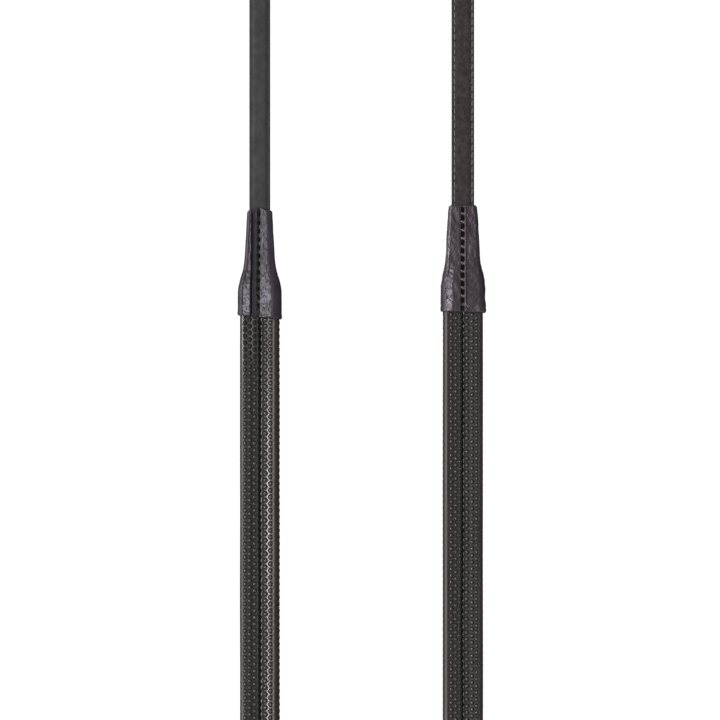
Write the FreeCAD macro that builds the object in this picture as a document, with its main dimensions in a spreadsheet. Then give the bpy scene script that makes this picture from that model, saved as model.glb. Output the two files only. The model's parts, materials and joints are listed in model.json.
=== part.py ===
import FreeCAD, Part
import math
import os

import Sketcher
from FreeCAD import Placement, Rotation, Vector

# A pair of riding reins that hang over a flat rail. +Z is up, +X is to the rider's right and
# -Y is the seam side of the straps. The origin is on the underside of the strap where it rests
# on the rail. Each rein is a hand strap, a tapered sleeve, a rubber grip round a leather core,
# a second sleeve, and a bit strap folded into a loop for the bit ring.

os.makedirs("parts", exist_ok=True)
doc = FreeCAD.newDocument("reins")

DIMENSIONS = [
    ("arm_offset", 59.2, "centre of each rein from the middle"),
    ("strap_thick", 2.8, "thickness of all the leather straps"),
    ("left_strap_width", 12.2, "single leather strap"),
    ("right_strap_width", 13.2, "lined and stitched strap"),
    ("crest_half", 49.2, "half length of the flat stretch on the rail"),
    ("twist_length", 120.0, "length of the quarter twist below the rail"),
    ("left_sleeve_top", 276.5, "top of the left hand sleeve, below the rail"),
    ("right_sleeve_top", 273.5, "top of the right hand sleeve, below the rail"),
    ("sleeve_length", 62.0, "length of each leather sleeve"),
    ("sleeve_wall", 0.9, "leather of the sleeve"),
    ("neck_length", 14.0, "bare strap between a sleeve and the bend"),
    ("bend_gap", 0.3, "space at a bend between the two strap solids"),
    ("core_width", 19.0, "leather core inside the rubber"),
    ("core_gap", 0.15, "space between the core and the rubber"),
    ("left_grip_width", 23.6, "rubber grip of the left rein"),
    ("right_grip_width", 24.0, "rubber grip of the right rein"),
    ("grip_depth", 7.8, "thickness of the rubber grip"),
    ("grip_corner", 2.4, "corner radius of the rubber grip"),
    ("grip_length", 620.0, "length of the rubber grip"),
    ("grip_overlap", 14.0, "rubber covered by each sleeve"),
    ("seam_width", 0.8, "groove of the rubber seam"),
    ("seam_depth", 1.2, "depth of the rubber seam"),
    ("thread_size", 0.6, "thickness of the seam thread"),
    ("stitch_radius", 0.4, "half thickness of a sleeve stitch"),
    ("stitch_pitch", 4.8, "distance between sleeve stitches"),
    ("stitch_length", 2.4, "length of a sleeve stitch"),
    ("bit_strap_length", 184.0, "from the bit sleeve to the middle of the bit loop"),
    ("loop_radius", 6.5, "inside of the bit loop"),
    ("loop_gap", 0.2, "space between the folded layers"),
    ("fold_length", 118.0, "folded-back end above the bit loop"),
    ("stud_height", 84.0, "hook stud above the bit loop"),
    ("stud_radius", 1.3, "shank of the hook stud"),
    ("stud_hole", 1.4, "hole in the strap for the shank"),
    ("bit_keeper_height", 102.0, "fixed keeper above the bit loop"),
    ("slider_height", 22.0, "running keeper above the bit loop"),
    ("keeper_wall", 1.6, "leather of a keeper"),
    ("keeper_width", 6.0, "width of a keeper along the strap"),
    ("keeper_gap", 0.3, "space inside a keeper"),
    ("hinge_bar_x", -22.0, "buckle bar that the left strap is folded round"),
    ("cross_bar_x", -4.0, "buckle bar that the tongue rests on"),
    ("buckle_height", 4.7, "plane of the buckle frame above the rail"),
    ("buckle_wire", 1.6, "half thickness of the buckle frame"),
    ("buckle_half_width", 8.8, "centre of the buckle frame's side bars"),
    ("buckle_corner", 3.0, "corner radius of the buckle frame"),
    ("tongue_radius", 1.1, "half thickness of the tongue"),
    ("tongue_bore", 1.66, "inside of the tongue's ring"),
    ("tongue_ring", 2.9, "outside of the tongue's ring"),
    ("tongue_width", 2.6, "width of the tongue's ring"),
    ("fold_gap", 1.1, "space between the layers of the turned-back end"),
    ("fixed_keeper_x", -33.0, "centre buckle's fixed keeper"),
    ("running_keeper_x", -45.0, "centre buckle's running keeper"),
    ("billet_tip_x", -54.0, "pointed end of the right strap"),
    ("tip_length", 6.0, "length of the point"),
    ("tip_half_width", 2.0, "half width of the point's end"),
    ("tongue_hole", 1.7, "half width of the oval holes in the right strap"),
    ("hole_before_bar", 1.5, "the tongue's hole starts this far from the hinge bar"),
    ("hole_after_bar", 4.5, "and ends this far from the cross bar"),
    ("chape_end_x", -41.0, "end of the left strap, folded back"),
    ("fold_slope", 30.0, "slope in degrees behind the hinge bar"),
    ("loop_angle", 50.0, "half angle in degrees between the layers above the bit loop"),
    ("head_gap", 0.1, "space under the hook stud's head"),
    ("head_thick", 1.6, "thickness of the hook stud's head"),
    ("head_half_length", 4.6, "half length of the hook stud's head"),
    ("head_half_width", 2.3, "half width of the hook stud's head"),
    ("head_shift", 1.2, "how far the head reaches further down than up"),
    ("washer_thick", 0.8, "thickness of the stud's washer"),
    ("washer_radius", 3.4, "radius of the stud's washer"),
    ("rivet_stand", 0.3, "riveted end of the stud beyond its washer"),
]

sheet = doc.addObject("Spreadsheet::Sheet", "dims")
for row, (alias, value, note) in enumerate(DIMENSIONS, start=1):
    sheet.set(f"A{row}", alias)
    sheet.set(f"B{row}", str(value))
    sheet.setAlias(f"B{row}", alias)
    sheet.set(f"C{row}", note)
doc.recompute()

SIDES = {"left": -1, "right": 1}
TWIST_STEPS = 8
# The core starts to widen this far inside a sleeve.
NECK_INSIDE = 4.0
PRESS_GAP = 0.02
CHAPE_STITCH_RADIUS = 0.35
SPARE_HOLES = (11.0, 30.0)
# Outer size of a sleeve at some distances from its narrow end: distance, width, depth.
SLEEVE_SECTIONS = {
    "left": [(0, 14.7, 5.0), (17, 16.4, 5.2), (34, 19.4, 6.0),
             (41, 23.4, 8.4), (47.5, 25.5, 9.8), (62, 25.7, 9.9)],
    "right": [(0, 16.5, 5.0), (20, 19.0, 5.2), (34, 20.7, 6.0),
              (41, 24.3, 8.4), (47.5, 25.9, 9.8), (62, 26.2, 9.9)],
}
sub_parts = []


def size(alias):
    """A driving dimension from the spreadsheet."""
    return float(sheet.get(alias))


# The strap's middle line bends over the rail's edge in an arc, from this height upwards.
ARC_RADIUS = size("arm_offset") - size("crest_half")
BEND_Z = size("strap_thick") / 2 - ARC_RADIUS


def new_body(name):
    body = doc.addObject("PartDesign::Body", name)
    body.Label = name
    sub_parts.append(body)
    return body


def place(body, x="0", y="0", z="0"):
    """Puts a body at a place worked out from the spreadsheet."""
    for axis, expression in (("x", x), ("y", y), ("z", z)):
        body.setExpression(f"Placement.Base.{axis}", expression)


def new_sketch(body, name, role, offset=("0", "0", "0"), turn=0.0):
    """A sketch on one of the body's own planes. offset is in the sketch's own directions."""
    plane = next(f for f in body.Origin.OriginFeatures if f.Role == role)
    sketch = body.newObject("Sketcher::SketchObject", name)
    sketch.AttachmentSupport = [(plane, "")]
    sketch.MapMode = "FlatFace"
    sketch.AttachmentOffset = Placement(Vector(), Rotation(Vector(0, 0, 1), turn))
    for axis, expression in zip("xyz", offset):
        sketch.setExpression(f"AttachmentOffset.Base.{axis}", expression)
    return sketch


def name_size(sketch, constraint, name, expression):
    """Adds a constraint and binds it to an expression."""
    index = sketch.addConstraint(constraint)
    sketch.renameConstraint(index, name)
    sketch.setExpression(f"Constraints.{name}", expression)


def rectangle(sketch, width, height):
    """A rectangle round the sketch's origin. width and height are expressions."""
    corners = [(-1, -1), (1, -1), (1, 1), (-1, 1)]
    first = sketch.GeometryCount
    for k in range(4):
        start = Vector(*corners[k], 0)
        end = Vector(*corners[(k + 1) % 4], 0)
        sketch.addGeometry(Part.LineSegment(start, end))
    for k in range(4):
        sketch.addConstraint(Sketcher.Constraint("Coincident", first + k, 2, first + (k + 1) % 4, 1))
        sketch.addConstraint(Sketcher.Constraint("Vertical" if k % 2 else "Horizontal", first + k))
    sketch.addConstraint(Sketcher.Constraint("Symmetric", first, 1, first + 2, 1, -1, 1))
    width_rule = Sketcher.Constraint("DistanceX", first, 1, first, 2, 2.0)
    height_rule = Sketcher.Constraint("DistanceY", first + 1, 1, first + 1, 2, 2.0)
    name_size(sketch, width_rule, f"width{first}", width)
    name_size(sketch, height_rule, f"height{first}", height)


def rounded_rectangle(sketch, width, height, radius):
    """A rectangle with round corners about the sketch's origin, from three expressions."""
    first = sketch.GeometryCount
    half, corner = 2.0, 0.5
    flat = half - corner
    lines = [((-flat, -half), (flat, -half)), ((half, -flat), (half, flat)),
             ((flat, half), (-flat, half)), ((-half, flat), (-half, -flat))]
    centres = [(flat, -flat), (flat, flat), (-flat, flat), (-flat, -flat)]
    for k in range(4):
        start, end = lines[k]
        sketch.addGeometry(Part.LineSegment(Vector(*start, 0), Vector(*end, 0)))
        circle = Part.Circle(Vector(*centres[k], 0), Vector(0, 0, 1), corner)
        from_angle = (k - 1) * math.pi / 2
        sketch.addGeometry(Part.ArcOfCircle(circle, from_angle, from_angle + math.pi / 2))
    for k in range(8):
        here, after = first + k, first + (k + 1) % 8
        sketch.addConstraint(Sketcher.Constraint("Tangent", here, 2, after, 1))
    for k in range(4):
        rule = "Vertical" if k % 2 else "Horizontal"
        sketch.addConstraint(Sketcher.Constraint(rule, first + 2 * k))
    for k in (3, 5, 7):
        sketch.addConstraint(Sketcher.Constraint("Equal", first + 1, first + k))
    sketch.addConstraint(Sketcher.Constraint("Symmetric", first + 1, 3, first + 5, 3, -1, 1))
    width_rule = Sketcher.Constraint("DistanceX", first + 6, 1, first + 2, 1, 2 * half)
    height_rule = Sketcher.Constraint("DistanceY", first, 1, first + 4, 1, 2 * half)
    radius_rule = Sketcher.Constraint("Radius", first + 1, corner)
    name_size(sketch, width_rule, f"width{first}", width)
    name_size(sketch, height_rule, f"height{first}", height)
    name_size(sketch, radius_rule, f"radius{first}", radius)


def outline(sketch, points):
    """A closed outline of straight lines, held in place."""
    for start, end in zip(points, points[1:] + points[:1]):
        index = sketch.addGeometry(Part.LineSegment(Vector(*start, 0), Vector(*end, 0)))
        sketch.addConstraint(Sketcher.Constraint("Block", index))


def circle_at(sketch, centre, radius):
    """A circle held in place."""
    index = sketch.addGeometry(Part.Circle(Vector(*centre, 0), Vector(0, 0, 1), radius))
    sketch.addConstraint(Sketcher.Constraint("Block", index))


def path_of(sketch, start, heading, steps):
    """Lines and tangent arcs from start. A step is ("line", length) or ("arc", radius, turn in
    degrees), and a positive turn goes anticlockwise. Returns the end point."""
    point = Vector(*start, 0)
    angle = math.radians(heading)
    for step in steps:
        if step[0] == "line":
            after = point + Vector(math.cos(angle), math.sin(angle), 0) * step[1]
            geometry = Part.LineSegment(point, after)
        else:
            radius, turn = step[1], math.radians(step[2])
            side = 1 if turn > 0 else -1
            centre = point + Vector(-math.sin(angle), math.cos(angle), 0) * (radius * side)
            middle = centre + Rotation(Vector(0, 0, 1), math.degrees(turn / 2)).multVec(point - centre)
            after = centre + Rotation(Vector(0, 0, 1), math.degrees(turn)).multVec(point - centre)
            geometry = Part.Arc(point, middle, after)
            angle += turn
        index = sketch.addGeometry(geometry)
        sketch.addConstraint(Sketcher.Constraint("Block", index))
        point = after
    return point


def pad(body, sketch, length, name="pad", symmetric=False, backwards=False):
    feature = body.newObject("PartDesign::Pad", name)
    feature.Profile = sketch
    feature.setExpression("Length", length)
    feature.SideType = "Symmetric" if symmetric else "One side"
    feature.Reversed = backwards
    return feature


def pocket(body, sketch, name="pocket"):
    """Cuts right through the body, both ways from the sketch, and makes sure that it cut."""
    doc.recompute()
    before = body.Shape.Volume
    feature = body.newObject("PartDesign::Pocket", name)
    feature.Profile = sketch
    feature.Type = "ThroughAll"
    feature.SideType = "Symmetric"
    doc.recompute()
    if body.Shape.Volume >= before:
        raise RuntimeError(f"{body.Label}: {name} cut nothing")
    return feature


def loft(body, sketches, kind="AdditiveLoft", ruled=True):
    feature = body.newObject(f"PartDesign::{kind}", kind)
    feature.Profile = sketches[0]
    feature.Sections = sketches[1:]
    feature.Ruled = ruled
    return feature


def pipe(body, profile, spine):
    feature = body.newObject("PartDesign::AdditivePipe", "pipe")
    feature.Profile = profile
    feature.Spine = spine
    feature.Mode = "Standard"
    return feature


def slot(sketch, centre, half_length, radius):
    """A slot along the sketch's first axis, held in place."""
    x, y = centre
    flat = half_length - radius
    ends = [(x - flat, y - radius), (x + flat, y - radius), (x + flat, y + radius), (x - flat, y + radius)]
    corners = [Vector(*p, 0) for p in ends]
    right_end = Vector(x + half_length, y, 0)
    left_end = Vector(x - half_length, y, 0)
    edges = [
        Part.LineSegment(corners[0], corners[1]),
        Part.Arc(corners[1], right_end, corners[2]),
        Part.LineSegment(corners[2], corners[3]),
        Part.Arc(corners[3], left_end, corners[0]),
    ]
    for edge in edges:
        index = sketch.addGeometry(edge)
        sketch.addConstraint(Sketcher.Constraint("Block", index))


def folded_end_path(side):
    """The strap's middle line from the bend over the rail's edge to its end. The left strap is
    folded round the buckle's hinge bar, and the right one passes under the cross bar and over
    the hinge bar. Both come down behind the hinge bar at the same slope."""
    thick = size("strap_thick")
    bar_x, cross_x = size("hinge_bar_x"), size("cross_bar_x")
    crest, height = size("crest_half"), size("buckle_height")
    bend = height - thick / 2
    slope = size("fold_slope")
    rise = 1 - math.cos(math.radians(slope))
    over_fold = bend + thick + size("keeper_gap")
    low = thick / 2 + thick + size("fold_gap")
    if side == "left":
        line = (height + bend - low - 2 * bend * rise) / math.sin(math.radians(slope))
        flat_x = bar_x - 2 * bend * math.sin(math.radians(slope)) - line * math.cos(math.radians(slope))
        return [
            ("arc", ARC_RADIUS, -90),
            ("line", crest + bar_x),
            ("arc", bend, 180 + slope),
            ("line", line),
            ("arc", bend, -slope),
            ("line", flat_x - size("chape_end_x")),
        ]
    high = low + thick + size("keeper_gap")
    span = cross_x - bar_x
    climb = math.degrees(math.asin((bend + over_fold) / span))
    straight = math.sqrt(span**2 - (bend + over_fold) ** 2)
    line = (height + over_fold - high - (over_fold + bend) * rise) / math.sin(math.radians(slope))
    flat_x = bar_x - (over_fold + bend) * math.sin(math.radians(slope))
    flat_x -= line * math.cos(math.radians(slope))
    return [
        ("arc", ARC_RADIUS, 90),
        ("line", crest - cross_x),
        ("arc", bend, -climb),
        ("line", straight),
        ("arc", over_fold, climb + slope),
        ("line", line),
        ("arc", bend, -slope),
        ("line", flat_x - size("billet_tip_x")),
    ]


def hand_strap(side):
    """From the buckle over the rail, down the arm with a quarter twist, to the bend above the
    sleeve."""
    sign = SIDES[side]
    body = new_body(f"{side}_hand_strap")
    width = f"dims.{side}_strap_width"
    x = f"{sign} * dims.arm_offset"
    sections = []
    for k in range(TWIST_STEPS + 1):
        z = f"{BEND_Z} - dims.twist_length * {k} / {TWIST_STEPS}"
        section = new_sketch(body, f"twist_{k}", "XY_Plane", (x, "0", z), sign * 90.0 * k / TWIST_STEPS)
        rectangle(section, "dims.strap_thick", width)
        sections.append(section)
    spine = new_sketch(body, "spine", "XZ_Plane")
    path_of(spine, (sign * size("arm_offset"), BEND_Z), 90, folded_end_path(side))
    pipe(body, sections[0], spine)
    loft(body, sections, ruled=False)
    doc.recompute()
    top = BEND_Z - size("twist_length")
    foot = new_sketch(body, "foot", "XY_Plane", (x, "0", f"{top}"))
    rectangle(foot, width, "dims.strap_thick")
    reach = f"dims.{side}_sleeve_top - dims.neck_length - {-top} - dims.strap_thick / 2 - dims.bend_gap"
    pad(body, foot, reach, "straight", backwards=True)
    return body


def left_hand_strap():
    body = hand_strap("left")
    wrap = new_sketch(body, "tongue_slot_sketch", "XY_Plane")
    bar_x = size("hinge_bar_x")
    half = size("tongue_width") / 2 + 0.9
    left, right = bar_x - 4.5, bar_x + 5.0
    outline(wrap, [(left, -half), (right, -half), (right, half), (left, half)])
    pocket(body, wrap, "tongue_slot")


def right_hand_strap():
    body = hand_strap("right")
    bar_x, cross_x, tip_x = size("hinge_bar_x"), size("cross_bar_x"), size("billet_tip_x")
    half, hole = size("right_strap_width") / 2, size("tongue_hole")
    holes = new_sketch(body, "holes_sketch", "XY_Plane")
    first, last = bar_x + size("hole_before_bar"), cross_x - size("hole_after_bar")
    slot(holes, ((first + last) / 2, 0), (last - first) / 2, hole)
    for x in SPARE_HOLES:
        slot(holes, (x, 0), hole + 1.0, hole)
    pocket(body, holes, "holes")
    shoulder, end = tip_x + size("tip_length"), size("tip_half_width")
    for sign in (-1, 1):
        corner = new_sketch(body, f"tip_sketch_{sign + 1}", "XY_Plane")
        edge = sign * (half + 1)
        outline(corner, [(tip_x - 1, sign * end), (tip_x, sign * end), (shoulder, sign * half),
                         (shoulder, edge), (tip_x - 1, edge)])
        pocket(body, corner, f"tip_{sign + 1}")


def grip_core(side):
    """The wide core inside the rubber, with a narrow neck and a round end at each bend."""
    body = new_body(f"{side}_grip_core")
    place(body, f"{SIDES[side]} * dims.arm_offset", "0", f"-dims.{side}_sleeve_top")
    radius = size("strap_thick") / 2
    top = size("neck_length")
    rubber_top = size("grip_overlap") - size("sleeve_length")
    bottom = rubber_top - size("grip_length") - (size("sleeve_length") - size("grip_overlap")) - top
    profile = new_sketch(body, "profile", "YZ_Plane")
    edges = [
        Part.LineSegment(Vector(radius, bottom, 0), Vector(radius, top, 0)),
        Part.Arc(Vector(radius, top, 0), Vector(0, top + radius, 0), Vector(-radius, top, 0)),
        Part.LineSegment(Vector(-radius, top, 0), Vector(-radius, bottom, 0)),
        Part.Arc(Vector(-radius, bottom, 0), Vector(0, bottom - radius, 0), Vector(radius, bottom, 0)),
    ]
    for edge in edges:
        index = profile.addGeometry(edge)
        profile.addConstraint(Sketcher.Constraint("Block", index))
    pad(body, profile, "dims.core_width", symmetric=True)
    wide, narrow = size("core_width") / 2, size(f"{side}_strap_width") / 2
    reach = top + 2 * radius
    for end, level, away in (("top", 0.0, 1), ("bottom", top + bottom, -1)):
        for sign in (-1, 1):
            trim = new_sketch(body, f"trim_{end}_{sign + 1}", "XZ_Plane")
            inside, outside = level + away * rubber_top, level + away * reach
            beyond = sign * (wide + 1)
            outline(trim, [(sign * narrow, outside), (sign * narrow, level - away * NECK_INSIDE),
                           (sign * wide, inside), (beyond, inside), (beyond, outside)])
            pocket(body, trim, f"cut_{end}_{sign + 1}")


def rubber_grip(side):
    """A rubber cover wrapped round the core. Its two edges meet in a groove on the -Y side."""
    body = new_body(f"{side}_rubber_grip")
    top = f"-dims.{side}_sleeve_top - dims.sleeve_length + dims.grip_overlap"
    place(body, f"{SIDES[side]} * dims.arm_offset", "0", top)
    ring = new_sketch(body, "ring", "XY_Plane")
    rounded_rectangle(ring, f"dims.{side}_grip_width", "dims.grip_depth", "dims.grip_corner")
    hole = "dims.core_gap * 2"
    rectangle(ring, f"dims.core_width + {hole}", f"dims.strap_thick + {hole}")
    pad(body, ring, "dims.grip_length", backwards=True)
    groove = new_sketch(body, "groove_sketch", "XY_Plane", ("0", "-dims.grip_depth / 2", "0"))
    rectangle(groove, "dims.seam_width", "dims.seam_depth * 2")
    pocket(body, groove, "groove")
    thread = new_body(f"{side}_grip_seam_thread")
    place(thread, f"{SIDES[side]} * dims.arm_offset", "-dims.grip_depth / 2 + dims.seam_depth / 2", top)
    section = new_sketch(thread, "section", "XY_Plane")
    rectangle(section, "dims.thread_size", "dims.thread_size")
    pad(thread, section, "dims.grip_length", backwards=True)


def sleeve_place(side, end):
    """Height of a sleeve's narrow end, and which way it widens."""
    if end == "hand":
        return f"-dims.{side}_sleeve_top", -1
    both = "2 * (dims.sleeve_length - dims.grip_overlap)"
    return f"-dims.{side}_sleeve_top - dims.grip_length - {both}", 1


def sleeve(side, end):
    """A thin leather sleeve that widens from the strap to the rubber."""
    body = new_body(f"{side}_{end}_sleeve")
    z, direction = sleeve_place(side, end)
    place(body, f"{SIDES[side]} * dims.arm_offset", "0", z)
    for kind, wall, corner in (("AdditiveLoft", "0", 1.0), ("SubtractiveLoft", "2 * dims.sleeve_wall", 0.5)):
        sections = []
        for k, (distance, width, depth) in enumerate(SLEEVE_SECTIONS[side]):
            height = f"{direction * distance} * dims.sleeve_length / {SLEEVE_SECTIONS[side][-1][0]}"
            section = new_sketch(body, f"{kind}_{k}", "XY_Plane", ("0", "0", height))
            radius = corner * (1.2 + 0.16 * k)
            rounded_rectangle(section, f"{width} - {wall}", f"{depth} - {wall}", f"{radius}")
            sections.append(section)
        loft(body, sections, kind)
        doc.recompute()


def sleeve_depth(side, distance):
    """Outer depth of the sleeve at a distance from its narrow end."""
    table = SLEEVE_SECTIONS[side]
    for (d0, _, depth0), (d1, _, depth1) in zip(table, table[1:]):
        if d0 <= distance <= d1:
            return depth0 + (depth1 - depth0) * (distance - d0) / (d1 - d0)
    return table[-1][2]


def group_of_solids(name, shapes, x=0.0, z=0.0):
    """Several separate solids that share one node."""
    feature = doc.addObject("Part::Feature", name)
    feature.Label = name
    feature.Shape = Part.makeCompound(shapes)
    feature.Placement = Placement(Vector(x, 0, z), Rotation())
    sub_parts.append(feature)


def sleeve_stitching(side, end):
    """Short stitches across the seam on the -Y side of a sleeve."""
    length, radius = size("stitch_length"), size("stitch_radius")
    z_top = -size(f"{side}_sleeve_top")
    direction = -1
    if end == "bit":
        z_top -= size("grip_length") + 2 * (size("sleeve_length") - size("grip_overlap"))
        direction = 1
    stitches = []
    distance = size("stitch_pitch") / 2
    while distance < size("sleeve_length") - 1:
        y = -sleeve_depth(side, distance) / 2 - radius / 4
        start = Vector(-length / 2, y, direction * distance)
        stitches.append(Part.makeCylinder(radius, length, start, Vector(1, 0, 0)))
        distance += size("stitch_pitch")
    group_of_solids(f"{side}_{end}_sleeve_stitching", stitches, SIDES[side] * size("arm_offset"), z_top)


def loop_centre(side):
    """Height of the middle of the bit loop."""
    hand = size(f"{side}_sleeve_top") + size("grip_length")
    sleeves = 2 * (size("sleeve_length") - size("grip_overlap"))
    return -(hand + sleeves) - size("bit_strap_length")


def bit_strap(side):
    """From the bend below the sleeve down to the bit loop, and back up on the -Y side. The two
    layers leave each other at an angle and go round the loop in one arc. Returns the distance
    between the middles of the layers."""
    body = new_body(f"{side}_bit_strap")
    z_loop = loop_centre(side)
    place(body, f"{SIDES[side]} * dims.arm_offset", "0", f"{z_loop}")
    thick = size("strap_thick")
    mid = size("loop_radius") + thick / 2
    half_gap = (thick + size("loop_gap")) / 2
    spread = size("loop_angle")
    angle = math.radians(spread)
    neck = (mid * math.cos(angle) - half_gap) / (1 - math.cos(angle))
    merge = (neck + mid) * math.sin(angle)
    bend_z = size("bit_strap_length") - size("neck_length") - thick / 2 - size("bend_gap")
    section = new_sketch(body, "section", "XY_Plane", ("0", "0", f"{bend_z}"))
    rectangle(section, f"dims.{side}_strap_width", "dims.strap_thick")
    spine = new_sketch(body, "spine", "YZ_Plane")
    steps = [
        ("line", bend_z - merge),
        ("arc", neck, spread),
        ("arc", mid, -(180 + 2 * spread)),
        ("arc", neck, spread),
        ("line", size("fold_length") - merge),
    ]
    path_of(spine, (0, bend_z), -90, steps)
    pipe(body, section, spine)
    hole = new_sketch(body, "stud_hole_sketch", "XZ_Plane")
    circle_at(hole, (0, size("stud_height")), size("stud_hole"))
    pocket(body, hole, "stud_hole")
    return 2 * half_gap


def hook_stud(side, layer_step):
    """A stud through both layers, with an oval head that hooks the folded end, and its washer."""
    thick = size("strap_thick")
    x = f"{SIDES[side]} * dims.arm_offset"
    z = f"{loop_centre(side)} + dims.stud_height"
    under_head = f"{layer_step + thick / 2} + dims.head_gap"
    body = new_body(f"{side}_hook_stud")
    place(body, x, "0", z)
    head = new_sketch(body, "head", "XZ_Plane", ("0", "0", under_head), 90.0)
    slot(head, (-size("head_shift"), 0), size("head_half_length"), size("head_half_width"))
    pad(body, head, "dims.head_thick", "head_pad")
    shank = new_sketch(body, "shank", "XZ_Plane", ("0", "0", under_head))
    circle_at(shank, (0, 0), size("stud_radius"))
    reach = f"{under_head} + dims.strap_thick / 2 + dims.washer_thick + dims.rivet_stand"
    pad(body, shank, reach, "shank_pad", backwards=True)
    washer = new_body(f"{side}_stud_washer")
    place(washer, x, "0", z)
    ring = new_sketch(washer, "ring", "XZ_Plane", ("0", "0", "-dims.strap_thick / 2"))
    circle_at(ring, (0, 0), size("washer_radius"))
    circle_at(ring, (0, 0), size("stud_radius") + PRESS_GAP)
    pad(washer, ring, "dims.washer_thick", backwards=True)


def keeper(name, plane, width, inner, low_wall, place_at):
    """A leather loop round a strap of the given width. inner is the low and high side of its
    hole across the layers, and low_wall is the thickness of the wall at the low side."""
    body = new_body(name)
    place(body, *place_at)
    low, high = inner
    wall = size("keeper_wall")
    hole_width = width + 2 * size("keeper_gap")
    outer = new_sketch(body, "outer", plane, ("0", f"{(low - low_wall + high + wall) / 2}", "0"))
    rounded_rectangle(outer, f"{hole_width + 2 * wall}", f"{high - low + wall + low_wall}", "1.2")
    pad(body, outer, "dims.keeper_width", symmetric=True)
    hole = new_sketch(body, "hole_sketch", plane, ("0", f"{(low + high) / 2}", "0"))
    rounded_rectangle(hole, f"{hole_width}", f"{high - low}", "0.5")
    pocket(body, hole, "hole")


def centre_keepers():
    thick, gap = size("strap_thick"), size("keeper_gap")
    top = 3 * thick + size("fold_gap") + 2 * gap
    width = size("right_strap_width")
    between = (thick + 0.05, thick + size("fold_gap") - 0.05)
    keeper("centre_fixed_keeper", "YZ_Plane", width, (between[1], top), between[1] - between[0],
           ("dims.fixed_keeper_x", "0", "0"))
    keeper("centre_running_keeper", "YZ_Plane", width, (-gap, top), size("keeper_wall"),
           ("dims.running_keeper_x", "0", "0"))


def bit_keepers(side, layer_step):
    thick, gap = size("strap_thick"), size("keeper_gap")
    inner = (-layer_step - thick / 2 - gap, thick / 2 + gap)
    x = f"{SIDES[side]} * dims.arm_offset"
    for name, height in (("bit_fixed_keeper", "bit_keeper_height"), ("bit_running_keeper", "slider_height")):
        z = loop_centre(side) + size(height)
        keeper(f"{side}_{name}", "XY_Plane", size(f"{side}_strap_width"), inner, size("keeper_wall"),
               (x, "0", f"{z}"))


def buckle_frame():
    """A closed wire frame: the hinge bar, the cross bar and two side bars."""
    body = new_body("centre_buckle_frame")
    place(body, "(dims.hinge_bar_x + dims.cross_bar_x) / 2", "0", "dims.buckle_height")
    half_length = (size("cross_bar_x") - size("hinge_bar_x")) / 2
    half_width, corner = size("buckle_half_width"), size("buckle_corner")
    section = new_sketch(body, "section", "XZ_Plane")
    circle_at(section, (half_length, 0), size("buckle_wire"))
    spine = new_sketch(body, "spine", "XY_Plane")
    side_bar, end_bar = 2 * (half_length - corner), 2 * (half_width - corner)
    steps = [("line", end_bar / 2), ("arc", corner, 90), ("line", side_bar), ("arc", corner, 90),
             ("line", end_bar), ("arc", corner, 90), ("line", side_bar), ("arc", corner, 90),
             ("line", end_bar / 2)]
    path_of(spine, (half_length, 0), 90, steps)
    pipe(body, section, spine)


def buckle_tongue():
    """A ring round the hinge bar with a pin that rests on the cross bar."""
    body = new_body("centre_buckle_tongue")
    place(body, "dims.hinge_bar_x", "0", "dims.buckle_height")
    ring = new_sketch(body, "ring", "XZ_Plane")
    circle_at(ring, (0, 0), size("tongue_ring"))
    pad(body, ring, "dims.tongue_width", "ring_pad", symmetric=True)
    radius = size("tongue_radius")
    reach = size("cross_bar_x") - size("hinge_bar_x") + 1.4
    rest = size("buckle_wire") + radius + 0.05
    start_x, start_z = 1.9, rest - 0.7
    axis = new_sketch(body, "pin_spine", "XZ_Plane")
    index = axis.addGeometry(Part.LineSegment(Vector(start_x, start_z, 0), Vector(reach, rest + 0.05, 0)))
    axis.addConstraint(Sketcher.Constraint("Block", index))
    section = new_sketch(body, "pin_section", "YZ_Plane", ("0", f"{start_z}", f"{start_x}"))
    circle_at(section, (0, 0), radius)
    pipe(body, section, axis)
    bore = new_sketch(body, "bore_sketch", "XZ_Plane")
    circle_at(bore, (0, 0), size("tongue_bore"))
    pocket(body, bore, "bore")


def chape_stitching():
    """Stitches through the left strap and its turned-back end, on both sides of the keeper."""
    stand = 0.1
    depth = 2 * size("strap_thick") + size("fold_gap") + 2 * stand
    y = size("left_strap_width") / 2 - 1.8
    rear = size("chape_end_x") + 2.0
    front = size("fixed_keeper_x") + size("keeper_width") / 2 + 0.8
    stitches = []
    for x in (rear, rear + 2.4, front):
        for sign in (-1, 1):
            start = Vector(x, sign * y, -stand)
            stitches.append(Part.makeCylinder(CHAPE_STITCH_RADIUS, depth, start))
    group_of_solids("chape_stitching", stitches)


def edge_stitching():
    """The two lines of fine stitching along the edges of the lined right strap."""
    top = size("twist_length") - BEND_Z + 2
    bottom = size("right_sleeve_top") - size("neck_length") - size("strap_thick")
    width, stand, from_edge = 0.5, 0.2, 1.9
    lines = []
    for sign in (-1, 1):
        x = sign * (size("right_strap_width") / 2 - from_edge) - width / 2
        corner = Vector(x, -size("strap_thick") / 2 - stand, -bottom)
        lines.append(Part.makeBox(width, stand, bottom - top, corner))
    group_of_solids("right_strap_stitching", lines, size("arm_offset"))


left_hand_strap()
right_hand_strap()
edge_stitching()
buckle_frame()
buckle_tongue()
centre_keepers()
chape_stitching()
for name in SIDES:
    grip_core(name)
    rubber_grip(name)
    for end_name in ("hand", "bit"):
        sleeve(name, end_name)
        sleeve_stitching(name, end_name)
    step = bit_strap(name)
    hook_stud(name, step)
    bit_keepers(name, step)

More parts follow.
